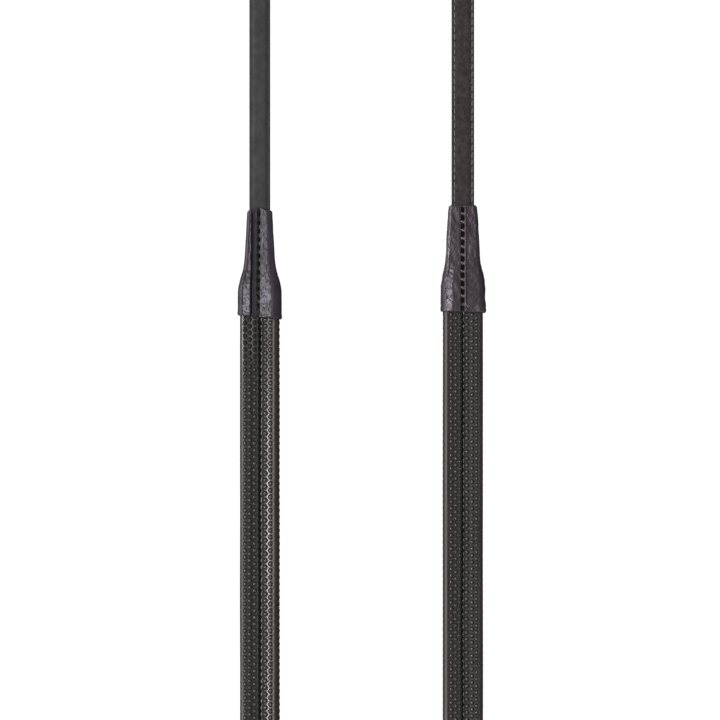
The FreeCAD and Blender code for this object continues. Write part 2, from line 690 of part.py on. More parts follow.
doc.recompute()
for item in doc.Objects:
    if "Invalid" in item.State or "Error" in item.State:
        raise RuntimeError(f"{item.Label} failed: {item.State}")
for item in sub_parts:
    if item.Shape.isNull() or not item.Shape.isValid():
        raise RuntimeError(f"{item.Label} has no valid shape")
    item.Shape.exportStep(f"parts/{item.Label}.step")
    box = item.Shape.BoundBox
    print(f"{item.Label}: {len(item.Shape.Solids)} solid(s), volume {item.Shape.Volume:.1f} mm3, "
          f"z {box.ZMin:.1f} to {box.ZMax:.1f}")
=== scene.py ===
import json
import math

import bmesh
import bpy
import numpy as np
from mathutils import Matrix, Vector, noise


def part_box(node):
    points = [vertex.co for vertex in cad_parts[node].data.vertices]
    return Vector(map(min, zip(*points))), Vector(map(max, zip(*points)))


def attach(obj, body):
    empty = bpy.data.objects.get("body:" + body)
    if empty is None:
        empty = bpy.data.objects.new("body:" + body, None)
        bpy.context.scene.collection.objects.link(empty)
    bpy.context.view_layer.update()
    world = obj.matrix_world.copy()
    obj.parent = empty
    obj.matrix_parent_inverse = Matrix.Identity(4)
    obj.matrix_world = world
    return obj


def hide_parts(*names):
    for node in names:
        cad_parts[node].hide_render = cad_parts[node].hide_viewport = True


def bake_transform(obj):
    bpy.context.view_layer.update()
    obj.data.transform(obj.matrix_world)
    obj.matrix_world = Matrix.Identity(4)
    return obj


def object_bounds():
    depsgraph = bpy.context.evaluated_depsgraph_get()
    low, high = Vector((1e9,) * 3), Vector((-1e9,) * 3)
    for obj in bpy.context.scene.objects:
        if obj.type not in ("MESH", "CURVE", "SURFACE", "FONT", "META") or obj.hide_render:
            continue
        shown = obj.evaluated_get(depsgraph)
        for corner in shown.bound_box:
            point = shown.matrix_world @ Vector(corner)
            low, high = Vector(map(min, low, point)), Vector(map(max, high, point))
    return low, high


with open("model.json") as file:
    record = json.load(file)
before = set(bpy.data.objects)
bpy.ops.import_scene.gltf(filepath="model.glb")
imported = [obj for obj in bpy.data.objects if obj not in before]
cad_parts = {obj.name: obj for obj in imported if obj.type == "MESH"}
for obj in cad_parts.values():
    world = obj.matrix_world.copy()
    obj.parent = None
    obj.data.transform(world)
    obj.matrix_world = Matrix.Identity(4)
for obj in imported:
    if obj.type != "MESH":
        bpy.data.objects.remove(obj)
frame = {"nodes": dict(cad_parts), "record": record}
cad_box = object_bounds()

# A pair of riding reins that hang over a rail. Lengths in the mesh code are millimetres, and
# MM turns them into metres. Each rein has its own side: -1 for the left one, 1 for the right.

MM = 0.001
SIDES = {"left": -1, "right": 1}
JOINTS = {joint["name"]: joint for joint in frame["record"]["behaviour"]["joints"]}


def box_mm(node):
    low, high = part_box(node)
    return np.array(low) / MM, np.array(high) / MM


def size_mm(node):
    low, high = box_mm(node)
    return high - low


def pivot_mm(joint):
    return np.array(JOINTS[joint]["pos_m"]) / MM


ARM = {side: pivot_mm(f"{side}_hand_bend")[0] for side in SIDES}
CORE_WIDTH, THICK, _ = size_mm("left_grip_core")
STRAP_WIDTH = {side: size_mm(f"{side}_bit_strap")[0] for side in SIDES}


# ---- materials

def new_material(name, colour, roughness, specular=0.5, tint=(1, 1, 1)):
    """A Principled material, its node tree and its shader."""
    material = bpy.data.materials.new(name)
    material.use_nodes = True
    tree = material.node_tree
    shader = tree.nodes["Principled BSDF"]
    values = {"Base Color": (*colour, 1), "Roughness": roughness, "Specular IOR Level": specular,
              "Specular Tint": (*tint, 1)}
    for name, value in values.items():
        shader.inputs[name].default_value = value
    return material, tree, shader


def add_node(tree, kind, output, inputs, **settings):
    """Adds a node, whose inputs are links or values, and returns one of its outputs."""
    node = tree.nodes.new("ShaderNode" + kind)
    for name, value in settings.items():
        setattr(node, name, value)
    for name, value in inputs.items():
        if isinstance(value, bpy.types.NodeSocket):
            tree.links.new(value, node.inputs[name])
        else:
            node.inputs[name].default_value = value
    return node.outputs[output]


def object_coordinates(tree, scale=(1, 1, 1)):
    place = add_node(tree, "TexCoord", "Object", {})
    return add_node(tree, "Mapping", "Vector", {"Vector": place, "Scale": scale})


def noise_texture(tree, vector, scale, detail=4.0, roughness=0.55):
    inputs = {"Vector": vector, "Scale": scale, "Detail": detail, "Roughness": roughness}
    return add_node(tree, "TexNoise", "Fac", inputs)


def colour_ramp(tree, value, low, high, low_colour, high_colour):
    ramp = tree.nodes.new("ShaderNodeValToRGB")
    first, last = ramp.color_ramp.elements
    first.position, last.position = low, high
    first.color, last.color = (*low_colour, 1), (*high_colour, 1)
    tree.links.new(value, ramp.inputs["Fac"])
    return ramp.outputs["Color"]


def value_range(tree, value, low, high, to_low, to_high):
    limits = {"From Min": low, "From Max": high, "To Min": to_low, "To Max": to_high}
    return add_node(tree, "MapRange", "Result", {"Value": value, **limits})


def bump(tree, shader, height, distance, below=None):
    inputs = {"Height": height, "Distance": distance}
    if below is not None:
        inputs["Normal"] = below
    normal = add_node(tree, "Bump", "Normal", inputs)
    tree.links.new(normal, shader.inputs["Normal"])
    return normal


def vary(tree, shader, value, low, high, low_colour, high_colour, rough_low, rough_high):
    """Colour and roughness both follow a value."""
    tone = colour_ramp(tree, value, low, high, low_colour, high_colour)
    tree.links.new(tone, shader.inputs["Base Color"])
    tree.links.new(value_range(tree, value, 0.3, 0.7, rough_low, rough_high), shader.inputs["Roughness"])


FIBRE_SCALE, SKIN_SCALE, STRAND_SCALE, RUB_SCALE = 2600.0, 900.0, 900.0, 500.0
DUST_SCALE, DUST_STRETCH = 120.0, (1, 1, 0.25)
RUB_STRETCH = (1, 1, 5)
SKIN_DEPTH, STRAND_DEPTH, RUB_DEPTH = 0.000012, 0.00008, 0.00001


def leather(name, dark, light, roughness, grain, grain_depth, fibre_depth, mottle=45.0, specular=0.5,
            tint=(1, 1, 1)):
    """Leather: mottled colour, a cell grain and fine fibres in bump, and uneven gloss."""
    material, tree, shader = new_material(name, dark, roughness, specular, tint)
    vector = object_coordinates(tree)
    patches = noise_texture(tree, vector, mottle, 6.0, 0.6)
    vary(tree, shader, patches, 0.35, 0.68, dark, light, roughness + 0.07, roughness - 0.07)
    inputs = {"Vector": vector, "Scale": grain}
    distance = add_node(tree, "TexVoronoi", "Distance", inputs, feature="DISTANCE_TO_EDGE")
    cells = value_range(tree, distance, 0.0, 0.25, 0.0, 1.0)
    grain_normal = bump(tree, shader, cells, grain_depth)
    bump(tree, shader, noise_texture(tree, vector, FIBRE_SCALE, 5.0, 0.6), fibre_depth, grain_normal)
    return material


def rubber(name, dark, light, roughness):
    """Moulded rubber: dusty patches, a fine skin and slightly uneven gloss."""
    material, tree, shader = new_material(name, dark, roughness, 0.5, (1.0, 0.93, 0.92))
    patches = noise_texture(tree, object_coordinates(tree, DUST_STRETCH), DUST_SCALE, 5.0, 0.6)
    vary(tree, shader, patches, 0.35, 0.7, dark, light, roughness - 0.05, roughness + 0.09)
    bump(tree, shader, noise_texture(tree, object_coordinates(tree), SKIN_SCALE, 3.0), SKIN_DEPTH)
    return material


def thread(name, dark, light, roughness=0.6, specular=0.5):
    """Waxed thread: thin slanting strands."""
    material, tree, shader = new_material(name, dark, roughness, specular)
    inputs = {"Vector": object_coordinates(tree), "Scale": STRAND_SCALE, "Distortion": 1.5}
    strands = add_node(tree, "TexWave", "Fac", inputs, bands_direction="DIAGONAL")
    tone = colour_ramp(tree, strands, 0.2, 0.9, dark, light)
    tree.links.new(tone, shader.inputs["Base Color"])
    bump(tree, shader, strands, STRAND_DEPTH)
    return material


def metal(name, colour, roughness):
    """Polished steel with faint rub marks."""
    material, tree, shader = new_material(name, colour, roughness)
    shader.inputs["Metallic"].default_value = 1.0
    marks = noise_texture(tree, object_coordinates(tree, RUB_STRETCH), RUB_SCALE, 5.0)
    darker = tuple(c * 0.88 for c in colour)
    vary(tree, shader, marks, 0.3, 0.75, darker, colour, roughness - 0.06, roughness + 0.14)
    bump(tree, shader, marks, RUB_DEPTH)
    return material


# Painted shade: recesses have their colour multiplied towards near black. Painted highlight: smooth places
# get a pale tint added.
RECESS_ROUGHER, PAINTED_RECESS_SHADE = 0.4, (0.01, 0.01, 0.01)
PAINTED_HIGHLIGHT_TINT = (1.0, 0.97, 0.96)


def follow_polish_and_painted_light(material, smoother, painted_highlight=0.0):
    """Gloss and colour follow the mesh's polish: towards 1 it is smoother and a painted highlight is
    added to its colour, and towards -1 it is a rougher recess whose colour is darkened as painted shade.
    """
    tree = material.node_tree
    shader = tree.nodes["Principled BSDF"]
    polish_and_painted_light = add_node(tree, "Attribute", "Fac", {}, attribute_name="polish_and_painted_light")
    gloss_and_painted_highlight = value_range(tree, polish_and_painted_light, 0.0, 1.0, 0.0, 1.0)
    recess_and_painted_shade = value_range(tree, polish_and_painted_light, -1.0, 0.0, 1.0, 0.0)
    roughness = shader.inputs["Roughness"].links[0].from_socket
    for part, change in ((gloss_and_painted_highlight, -smoother), (recess_and_painted_shade, RECESS_ROUGHER)):
        offset = value_range(tree, part, 0.0, 1.0, 0.0, change)
        roughness = add_node(tree, "Math", "Value", {0: roughness, 1: offset})
    tree.links.new(roughness, shader.inputs["Roughness"])
    colour = shader.inputs["Base Color"].links[0].from_socket
    painted_shade = colour_ramp(tree, recess_and_painted_shade, 0.0, 1.0, (1, 1, 1), PAINTED_RECESS_SHADE)
    painted_highlight_colour = (*(painted_highlight * part for part in PAINTED_HIGHLIGHT_TINT), 1)
    for blend, factor, other in (("MULTIPLY", 1.0, painted_shade), ("ADD", gloss_and_painted_highlight, painted_highlight_colour)):
        inputs = {"Factor": factor, "A": colour, "B": other}
        colour = add_node(tree, "Mix", "Result", inputs, data_type="RGBA", blend_type=blend)
    tree.links.new(colour, shader.inputs["Base Color"])
    return material


def give_polish_and_painted_light(piece, values):
    """values are for the mesh's first points, and what is left over is a mostly unseen inside, given
    painted shade that shows through slots.
    """
    polish_and_painted_light = np.full(len(piece.data.vertices), -1.0, dtype=np.float32)
    polish_and_painted_light[:len(values)] = values
    piece.data.attributes.new("polish_and_painted_light", "FLOAT", "POINT").data.foreach_set("value", polish_and_painted_light)


PLAIN_STRAP = leather("plain_strap", (0.0165, 0.0165, 0.0165), (0.0245, 0.0245, 0.0245), 0.68, 1500, 0.00004,
                      0.00006, 260.0, 0.35)
LINED_STRAP = leather("lined_strap", (0.0115, 0.0085, 0.0088), (0.031, 0.0245, 0.0253), 0.72, 1300, 0.00006,
                      0.00015, 420.0, 0.3)
LEFT_LEATHER = leather("left_sleeve_leather", (0.0135, 0.0098, 0.0148), (0.027, 0.0203, 0.0285), 0.5, 900,
                       0.000004, 0.000004, 90.0, 0.5, (0.96, 0.92, 1.0))
RIGHT_LEATHER = leather("right_sleeve_leather", (0.0145, 0.0092, 0.0138), (0.028, 0.0195, 0.0265), 0.52,
                        900, 0.00001, 0.00001, 90.0, 0.5, (0.97, 0.90, 0.98))
SLEEVE_LEATHER = {"left": follow_polish_and_painted_light(LEFT_LEATHER, 0.13), "right": follow_polish_and_painted_light(RIGHT_LEATHER, 0.22)}
KEEPER = leather("keeper_leather", (0.018, 0.0175, 0.0175), (0.030, 0.029, 0.029), 0.52, 1400, 0.00005,
                 0.00005)
PLAIN_RUBBER = rubber("grip_rubber", (0.0125, 0.0090, 0.0083), (0.0215, 0.0160, 0.0147), 0.42)
RUBBER = follow_polish_and_painted_light(PLAIN_RUBBER, 0.26, 0.033)
DARK_THREAD = thread("dark_thread", (0.002, 0.002, 0.002), (0.006, 0.0055, 0.0055), 0.85, 0.12)
LIGHT_THREAD = thread("light_thread", (0.11, 0.10, 0.097), (0.30, 0.275, 0.265))
SEAM_THREAD = thread("seam_thread", (0.08, 0.056, 0.052), (0.34, 0.27, 0.25), 0.35)
STEEL = metal("buckle_metal", (0.66, 0.66, 0.64), 0.2)
# Leather of a side's straps, and its material slot.
STRAP_LEATHER = {"left": (PLAIN_STRAP, "plain_strap"), "right": (LINED_STRAP, "lined_strap")}


# ---- mesh helpers

def add_object(name, data):
    piece = bpy.data.objects.new(name, data)
    bpy.context.scene.collection.objects.link(piece)
    return piece


def mesh_piece(name, points, faces, material, body=None, slot=None, replaced=()):
    """A smooth mesh from points in millimetres, riding on a body."""
    mesh = bpy.data.meshes.new(name)
    mesh.from_pydata((np.asarray(points, dtype=float) * MM).tolist(), [], faces)
    shape = bmesh.new()
    shape.from_mesh(mesh)
    bmesh.ops.recalc_face_normals(shape, faces=shape.faces)
    shape.to_mesh(mesh)
    shape.free()
    mesh.polygons.foreach_set("use_smooth", [True] * len(mesh.polygons))
    mesh.materials.append(material)
    piece = add_object(name, mesh)
    if body:
        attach(piece, body)
    if replaced:
        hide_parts(*replaced)
    return piece


def tubes(groups, closed=False):
    """Points and faces of tubes, each through rings of points, with flat ends unless it is closed."""
    points, faces = [], []
    for rings in groups:
        first, rows, columns = len(points), len(rings), len(rings[0])
        for r in range(rows if closed else rows - 1):
            here, after = first + r * columns, first + (r + 1) % rows * columns
            for c in range(columns):
                d = (c + 1) % columns
                faces.append((here + c, here + d, after + d, after + c))
        points.extend(np.concatenate(rings))
        if not closed:
            faces.append(tuple(range(first + columns - 1, first - 1, -1)))
            faces.append(tuple(range(len(points) - columns, len(points))))
    return points, faces


def swept_rings(rings, name, material, closed=False, **piece):
    return mesh_piece(name, *tubes([rings], closed), material, **piece)


def smooth_table(table, x):
    """Value between the points of a table of (x, value), on a smooth curve with no overshoot."""
    xs, ys = np.array(table, dtype=float).T
    slopes = np.diff(ys) / np.diff(xs)
    tangents = np.concatenate([[slopes[0]], (slopes[:-1] + slopes[1:]) / 2, [slopes[-1]]])
    for k, slope in enumerate(slopes):
        limit = 3 * abs(slope)
        tangents[k] = np.clip(tangents[k], -limit, limit)
        tangents[k + 1] = np.clip(tangents[k + 1], -limit, limit)
    x = np.clip(x, xs[0], xs[-1])
    k = np.clip(np.searchsorted(xs, x, side="right") - 1, 0, len(xs) - 2)
    h = xs[k + 1] - xs[k]
    t = (x - xs[k]) / h
    rise = ys[k] * (2 * t**3 - 3 * t**2 + 1) + ys[k + 1] * (3 * t**2 - 2 * t**3)
    return rise + h * (tangents[k] * (t**3 - 2 * t**2 + t) + tangents[k + 1] * (t**3 - t**2))


def outline_length(half_width, half_depth, radius):
    return 4 * (half_width + half_depth - 2 * radius) + 2 * math.pi * radius


def on_outline(half_width, half_depth, radius, s):
    """Points and outward normals on a rounded rectangle at lengths s along its outline, from the
    middle of the -Y side towards +X."""
    x, y = half_width - radius, half_depth - radius
    s = np.mod(s, outline_length(half_width, half_depth, radius))
    straights = np.array([x, 2 * y, 2 * x, 2 * y, x])
    centres = np.array([(x, -y), (x, y), (-x, y), (-x, -y), (0, -y)])
    starts = np.concatenate([[0], np.cumsum(straights[:-1] + math.pi / 2 * radius)])
    k = np.searchsorted(starts, s, side="right") - 1
    past = s - starts[k] - straights[k]
    square = (k - 1) * math.pi / 2
    turn = square + np.maximum(past, 0) / radius
    nx, ny = np.cos(turn), np.sin(turn)
    before = np.minimum(past, 0)
    x = centres[k, 0] + radius * nx - np.sin(square) * before
    y = centres[k, 1] + radius * ny + np.cos(square) * before
    return x, y, nx, ny


TUBE_END = 0.35


def tube(path, radius, sides=8):
    """Rings of a thin round tube along path, narrower at its ends."""
    path = np.asarray(path, dtype=float)
    rings = []
    for k, point in enumerate(path):
        tangent = path[min(k + 1, len(path) - 1)] - path[max(k - 1, 0)]
        tangent /= np.linalg.norm(tangent)
        across = np.cross(tangent, (0.3, 1.0, 0.2))
        across /= np.linalg.norm(across)
        third = np.cross(tangent, across)
        end = k in (0, len(path) - 1)
        r = radius * (TUBE_END if end else 1.0)
        turns = np.arange(sides) * 2 * math.pi / sides
        rings.append(point + r * (np.outer(np.cos(turns), across) + np.outer(np.sin(turns), third)))
    return rings


def many_tubes(paths, radius, name, material, sides=8, **piece):
    """Several thin tubes in one mesh."""
    return mesh_piece(name, *tubes([tube(path, radius, sides) for path in paths]), material, **piece)


def hill(x, middle, spread):
    return math.exp(-(((x - middle) / spread) ** 2))


def step_up(x, low, high):
    t = min(1.0, max(0.0, (x - low) / (high - low)))
    return t * t * (3 - 2 * t)


def fall_off(x, middle, width):
    """From 1 below the middle to 0 above it, for an array."""
    return 1 / (1 + np.exp(np.clip((x - middle) / width, -30, 30)))


def ripple(x, y, z=0.0):
    """Smooth noise between -1 and 1."""
    return noise.noise(Vector((x, y, z)))


# ---- straps

# Distance of the pressed lines from a strap's edges, and their depth.
PRESSED_LINES = {"left": (1.25, 0.22), "right": (1.9, 0.16)}
CORE_LINES = (1.6, 0.1)
ROUND_EDGE, LINE_HALF, CROWN = 0.75, 0.32, 0.06


def strap_section(width, lines, depth):
    """Outline of a strap: across its width and towards its seam side, with round edges and a
    pressed line at a distance from each edge on both faces."""
    half, deep = width / 2, THICK / 2
    face = [-half + ROUND_EDGE, half - ROUND_EDGE, 0.0, -half * 0.35, half * 0.35]
    for line in (-half + lines, half - lines):
        face += [line - LINE_HALF, line - 0.12, line, line + 0.12, line + LINE_HALF]
    top = []
    for s in sorted(face):
        near = abs(abs(s) - (half - lines))
        groove = depth * max(0.0, 1 - (near / LINE_HALF) ** 2)
        crown = CROWN * (1 - (s / half) ** 2)
        top.append((s, deep + crown - groove - CROWN))
    rim = []
    for k in range(1, 6):
        turn = math.pi / 2 - k * math.pi / 6
        rim.append((half - ROUND_EDGE + ROUND_EDGE * math.cos(turn), (deep - CROWN) * math.sin(turn)))
    right = top + rim
    return np.array(right + [(-s, -n) for s, n in right])


def strap_piece(side, part, node, stations, section, width_at, **piece):
    """A strap through stations of (point, width direction, seam side direction). width_at gives its
    share of the full width at a station."""
    rings = []
    for k, (point, across, face) in enumerate(stations):
        rings.append(point + np.outer(section[:, 0] * width_at(k), across) + np.outer(section[:, 1], face))
    material, slot = STRAP_LEATHER[side]
    return swept_rings(rings, f"{side}_{part}_leather", material, slot=slot, replaced=[f"{side}_{node}"],
                       **piece)


def upright(x, z):
    """A station of a strap that hangs straight."""
    return np.array([x, 0, z]), np.array([1.0, 0, 0]), np.array([0, -1.0, 0])


TIP_STATIONS = 12


def tip_share(stations, k, length):
    """Distance of station k from the strap's tip, as a share of the tip's length, and 1 beyond it."""
    if k < len(stations) - TIP_STATIONS:
        return 1.0
    return min(1.0, np.linalg.norm(stations[-1][0] - stations[k][0]) / length)


def planar_path(start, heading, steps, spacing=1.2):
    """Points and headings along lines and tangent arcs in a plane. A step is ("line", length) or
    ("arc", radius, turn), with turns in degrees and anticlockwise positive."""
    point, angle = np.array(start, dtype=float), math.radians(heading)
    track = [(point.copy(), angle)]
    for step in steps:
        if step[0] == "line":
            direction = np.array([math.cos(angle), math.sin(angle)])
            count = max(1, round(step[1] / (2 * spacing)))
            track += [(point + direction * step[1] * k / count, angle) for k in range(1, count + 1)]
        else:
            radius, turn = step[1], math.radians(step[2])
            side = 1 if turn > 0 else -1
            centre = point + radius * side * np.array([-math.sin(angle), math.cos(angle)])
            count = max(3, round(abs(turn) * radius / spacing), round(abs(math.degrees(turn)) / 12))
            for k in range(1, count + 1):
                now = angle + turn * k / count
                track.append((centre - radius * side * np.array([-math.sin(now), math.cos(now)]), now))
        point, angle = track[-1]
    return track


# The rail's flat top and the twist below it, then the strap ends at the buckle as in the CAD model.
CREST_HALF, TWIST_LENGTH = 49.2, 120.0
ARC_RADIUS = abs(ARM["left"]) - CREST_HALF
BEND_Z = THICK / 2 - ARC_RADIUS
HINGE_X, CROSS_X, FRAME_Z = -22.0, -4.0, 4.7
FOLD_GAP, LAYER_GAP, SLOPE = 1.1, 0.3, 30.0
CHAPE_END, BILLET_TIP, TIP_LENGTH = -41.0, -54.0, 6.0
INSIDE_SLEEVE = 9.0
STATION_STEP, TWIST_STEPS = 1.6, 60
# Punched holes of the right strap: x, half length and radius.
PUNCHED = [(-14.5, 6.0, 1.7), (11.0, 2.7, 1.7), (30.0, 2.7, 1.7)]
HOLE_SIDES, CUT_HEIGHTS = 24, (-6.0, 20.0)


def folded_end(side):
    """Steps of the strap's middle line from the rail's edge to its end, as in the CAD model."""
    bend = FRAME_Z - THICK / 2
    sine, cosine = math.sin(math.radians(SLOPE)), math.cos(math.radians(SLOPE))
    rise = 1 - cosine
    over = bend + THICK + LAYER_GAP
    low = THICK * 1.5 + FOLD_GAP
    if side == "left":
        line = (FRAME_Z + bend - low - 2 * bend * rise) / sine
        flat_x = HINGE_X - 2 * bend * sine - line * cosine
        return [("arc", ARC_RADIUS, -90), ("line", CREST_HALF + HINGE_X), ("arc", bend, 180 + SLOPE),
                ("line", line), ("arc", bend, -SLOPE), ("line", flat_x - CHAPE_END)]
    high = low + THICK + LAYER_GAP
    span = CROSS_X - HINGE_X
    climb = math.degrees(math.asin((bend + over) / span))
    straight = math.sqrt(span**2 - (bend + over) ** 2)
    line = (FRAME_Z + over - high - (over + bend) * rise) / sine
    flat_x = HINGE_X - (over + bend) * sine - line * cosine
    return [("arc", ARC_RADIUS, 90), ("line", CREST_HALF - CROSS_X), ("arc", bend, -climb),
            ("line", straight), ("arc", over, climb + SLOPE), ("line", line), ("arc", bend, -SLOPE),
            ("line", flat_x - BILLET_TIP)]


def hand_stations(side):
    """The hand strap from inside its sleeve up over the rail to its end."""
    sign, x = SIDES[side], ARM[side]
    bottom = box_mm(f"{side}_hand_sleeve")[1][2] - INSIDE_SLEEVE
    twist_end = BEND_Z - TWIST_LENGTH
    count = round((twist_end - bottom) / STATION_STEP)
    stations = [upright(x, bottom + (twist_end - bottom) * k / count) for k in range(count)]
    for k in range(TWIST_STEPS):
        turn = math.pi / 2 * k / TWIST_STEPS
        z = twist_end + TWIST_LENGTH * k / TWIST_STEPS
        across = np.array([math.cos(turn), -sign * math.sin(turn), 0])
        face = np.array([-sign * math.sin(turn), -math.cos(turn), 0])
        stations.append((np.array([x, 0, z]), across, face))
    for point, angle in planar_path((x, BEND_Z), 90, folded_end(side)):
        face = np.array([-sign * math.sin(angle), 0, sign * math.cos(angle)])
        stations.append((np.array([point[0], 0, point[1]]), np.array([0, -sign, 0.0]), face))
    return stations


def cut_holes(piece, cutters):
    """Cuts oval punched holes through a strap, straight down. A cutter is (x, half length, radius)."""
    groups = []
    for x, half, radius in cutters:
        ring = []
        for k in range(HOLE_SIDES):
            turn = 2 * math.pi * (k + 0.5) / HOLE_SIDES
            shift = (half - radius) * (1 if math.cos(turn) > 0 else -1)
            ring.append((x + shift + radius * math.cos(turn), radius * math.sin(turn)))
        groups.append([[(px, py, z) for px, py in ring] for z in CUT_HEIGHTS])
    points, faces = tubes(groups)
    mesh = bpy.data.meshes.new("cutter")
    mesh.from_pydata((np.array(points) * MM).tolist(), [], faces)
    cutter = add_object("cutter", mesh)
    modifier = piece.modifiers.new("holes", "BOOLEAN")
    modifier.operation, modifier.solver, modifier.object = "DIFFERENCE", "EXACT", cutter
    bpy.context.view_layer.update()
    evaluated = piece.evaluated_get(bpy.context.evaluated_depsgraph_get())
    cut = bpy.data.meshes.new_from_object(evaluated)
    piece.modifiers.clear()
    piece.data = cut
    bpy.data.objects.remove(cutter)


def bend_between(piece, joint, parent, child):
    """Bakes the piece's transform into its mesh."""
    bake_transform(piece)


def hand_strap(side):
    stations = hand_stations(side)

    def width_at(k):
        return 1.0 if side == "left" else 0.3 + 0.7 * math.sqrt(tip_share(stations, k, TIP_LENGTH))

    section = strap_section(STRAP_WIDTH[side], *PRESSED_LINES[side])
    piece = strap_piece(side, "hand_strap", "hand_strap", stations, section, width_at)
    if side == "right":
        cut_holes(piece, PUNCHED)
    bend_between(piece, f"{side}_hand_bend", "hand_loop", f"{side}_grip")
    return stations


# Distance of the stitches from the left and the right edge of the seam side, their thread's radius,
# their pitch, length, height over the leather, depth of their ends, and slant.
STITCH_GAPS, EDGE_THREAD = (1.8, 1.2), 0.2
EDGE_PITCH, EDGE_STITCH, EDGE_LIFT, EDGE_SUNK, EDGE_SKEW = 4.3, 3.8, -0.06, -0.25, 0.1


def stitches_along(stations):
    """Paths of the stitches along both edges of the lined strap, on both faces."""
    points = np.array([station[0] for station in stations])
    steps = np.linalg.norm(np.diff(points, axis=0), axis=1)
    distance = np.concatenate([[0.0], np.cumsum(steps)])

    def at(d, s, n):
        k = int(np.clip(np.searchsorted(distance, d) - 1, 0, len(points) - 2))
        t = (d - distance[k]) / max(steps[k], 1e-6)
        place, across, face = (stations[k][i] * (1 - t) + stations[k + 1][i] * t for i in range(3))
        return place + across * s + face * n

    paths = []
    d = EDGE_PITCH / 2
    while d < distance[-1] - EDGE_STITCH - 3:
        for sign, gap in zip((-1, 1), STITCH_GAPS):
            s, skew = sign * (STRAP_WIDTH["right"] / 2 - gap), EDGE_SKEW * sign
            for face in (1, -1):
                sunk, n = (face * (THICK / 2 + lift) for lift in (EDGE_SUNK, EDGE_LIFT))
                parts = ((0, -1, sunk), (0.18, -0.6, n), (0.5, 0, n + face * 0.04), (0.82, 0.6, n),
                         (1, 1, sunk))
                paths.append([at(d + EDGE_STITCH * share, s + skew * turn, height)
                              for share, turn, height in parts])
        d += EDGE_PITCH
    return paths


def strap_stitching(stations, name, joint, parent, child, replaced=()):
    piece = many_tubes(stitches_along(stations), EDGE_THREAD, name, LIGHT_THREAD, 6,
                       slot="light_thread", replaced=replaced)
    bend_between(piece, joint, parent, child)


# Steps of the core, and how far inside the sleeves it starts to widen and is at its full width.
CORE_COUNT, CORE_NARROW, CORE_FULL = 180, 5.0, 46.0


def core_strap(side):
    """The leather core: the rein's own strap, which widens inside the sleeves."""
    top = box_mm(f"{side}_hand_sleeve")[1][2]
    bottom = box_mm(f"{side}_bit_sleeve")[0][2]
    narrow = STRAP_WIDTH[side] / CORE_WIDTH
    start, end = top - INSIDE_SLEEVE - 1.0, bottom + INSIDE_SLEEVE + 1.0
    heights = start + (end - start) * np.arange(CORE_COUNT + 1) / CORE_COUNT

    def width_at(k):
        inside = min(top - heights[k], heights[k] - bottom)
        wide = float(np.clip((inside - CORE_NARROW) / (CORE_FULL - CORE_NARROW), 0, 1))
        return narrow + (1 - narrow) * wide

    stations = [upright(ARM[side], z) for z in heights]
    strap_piece(side, "core", "grip_core", stations, strap_section(CORE_WIDTH, *CORE_LINES), width_at,
                body=f"{side}_grip")


LOOP_ANGLE, LOOP_RADIUS, LOOP_GAP, FOLD_LENGTH, BIT_TIP = 50.0, 6.5, 0.2, 118.0, 5.0


def bit_strap(side):
    """From inside the bit sleeve down round the bit loop and back up on the seam side."""
    z_loop = box_mm(f"{side}_bit_strap")[0][2] + LOOP_RADIUS + THICK
    mid = LOOP_RADIUS + THICK / 2
    half_gap = (THICK + LOOP_GAP) / 2
    angle = math.radians(LOOP_ANGLE)
    neck = (mid * math.cos(angle) - half_gap) / (1 - math.cos(angle))
    merge = (neck + mid) * math.sin(angle)
    top = box_mm(f"{side}_bit_sleeve")[0][2] + INSIDE_SLEEVE
    steps = [("line", top - z_loop - merge), ("arc", neck, LOOP_ANGLE),
             ("arc", mid, -(180 + 2 * LOOP_ANGLE)), ("arc", neck, LOOP_ANGLE), ("line", FOLD_LENGTH - merge)]
    stations = []
    for point, heading in planar_path((0, top), -90, steps, 0.9):
        face = np.array([0, math.sin(heading), -math.cos(heading)])
        stations.append((np.array([ARM[side], point[0], point[1]]), np.array([1.0, 0, 0]), face))

    def width_at(k):
        return 0.4 + 0.6 * math.sqrt(max(0.0, 1 - (1 - tip_share(stations, k, BIT_TIP)) ** 2))

    section = strap_section(STRAP_WIDTH[side], *PRESSED_LINES[side])
    piece = strap_piece(side, "bit_strap", "bit_strap", stations, section, width_at)
    bend = (f"{side}_bit_bend", f"{side}_grip", f"{side}_bit_end")
    bend_between(piece, *bend)
    if side == "right":
        strap_stitching(stations, "right_bit_strap_stitches", *bend)


# ---- rubber grips

PITCH = 3.9
PIMPLE_RADIUS, PIMPLE_HEIGHT = 1.32, 0.72
# Sideways swing of the line between two columns, which gives each pimple a six-sided tile.
ZIGZAG = 0.6
EDGE_RADIUS = 2.6
# Edges of the strips on the front of a grip, along its outline from the middle. Columns of
# pimples are on each side of the seam, and a plain band is outside them.
FRONT_EDGES = {"left": [-12.2, -9.8, -7.2, -4.4, -1.5, 1.6, 4.8, 7.7, 10.1],
               "right": [-12.2, -9.8, -7.2, -4.4, -1.2, 0.5, 2.2, 4.9, 7.7, 10.1]}
PLAIN_STRIPS = {(-12.2, -9.8), (7.7, 10.1)}
# Points across the seam's strip: share of its width, and height.
ACROSS_SEAM = {"left": ((0.2, -0.1), (0.32, -0.9), (0.5, -1.35), (0.68, -1.3), (0.82, -0.7), (0.93, 0.4)),
               "right": ((0.04, 0.4), (0.16, -0.8), (0.4, -1.35), (0.7, -1.35), (0.92, -0.7))}
SEAM_STRIP = {"left": (-1.5, 1.6), "right": (-1.2, 0.5)}
SEAM_THREAD_SHARE = {"left": 0.58, "right": 0.52}
SEAM_SHIFT = {"left": 0.0, "right": 0.5}
BASE_DROP = 0.3
BACK_COLUMNS = 11
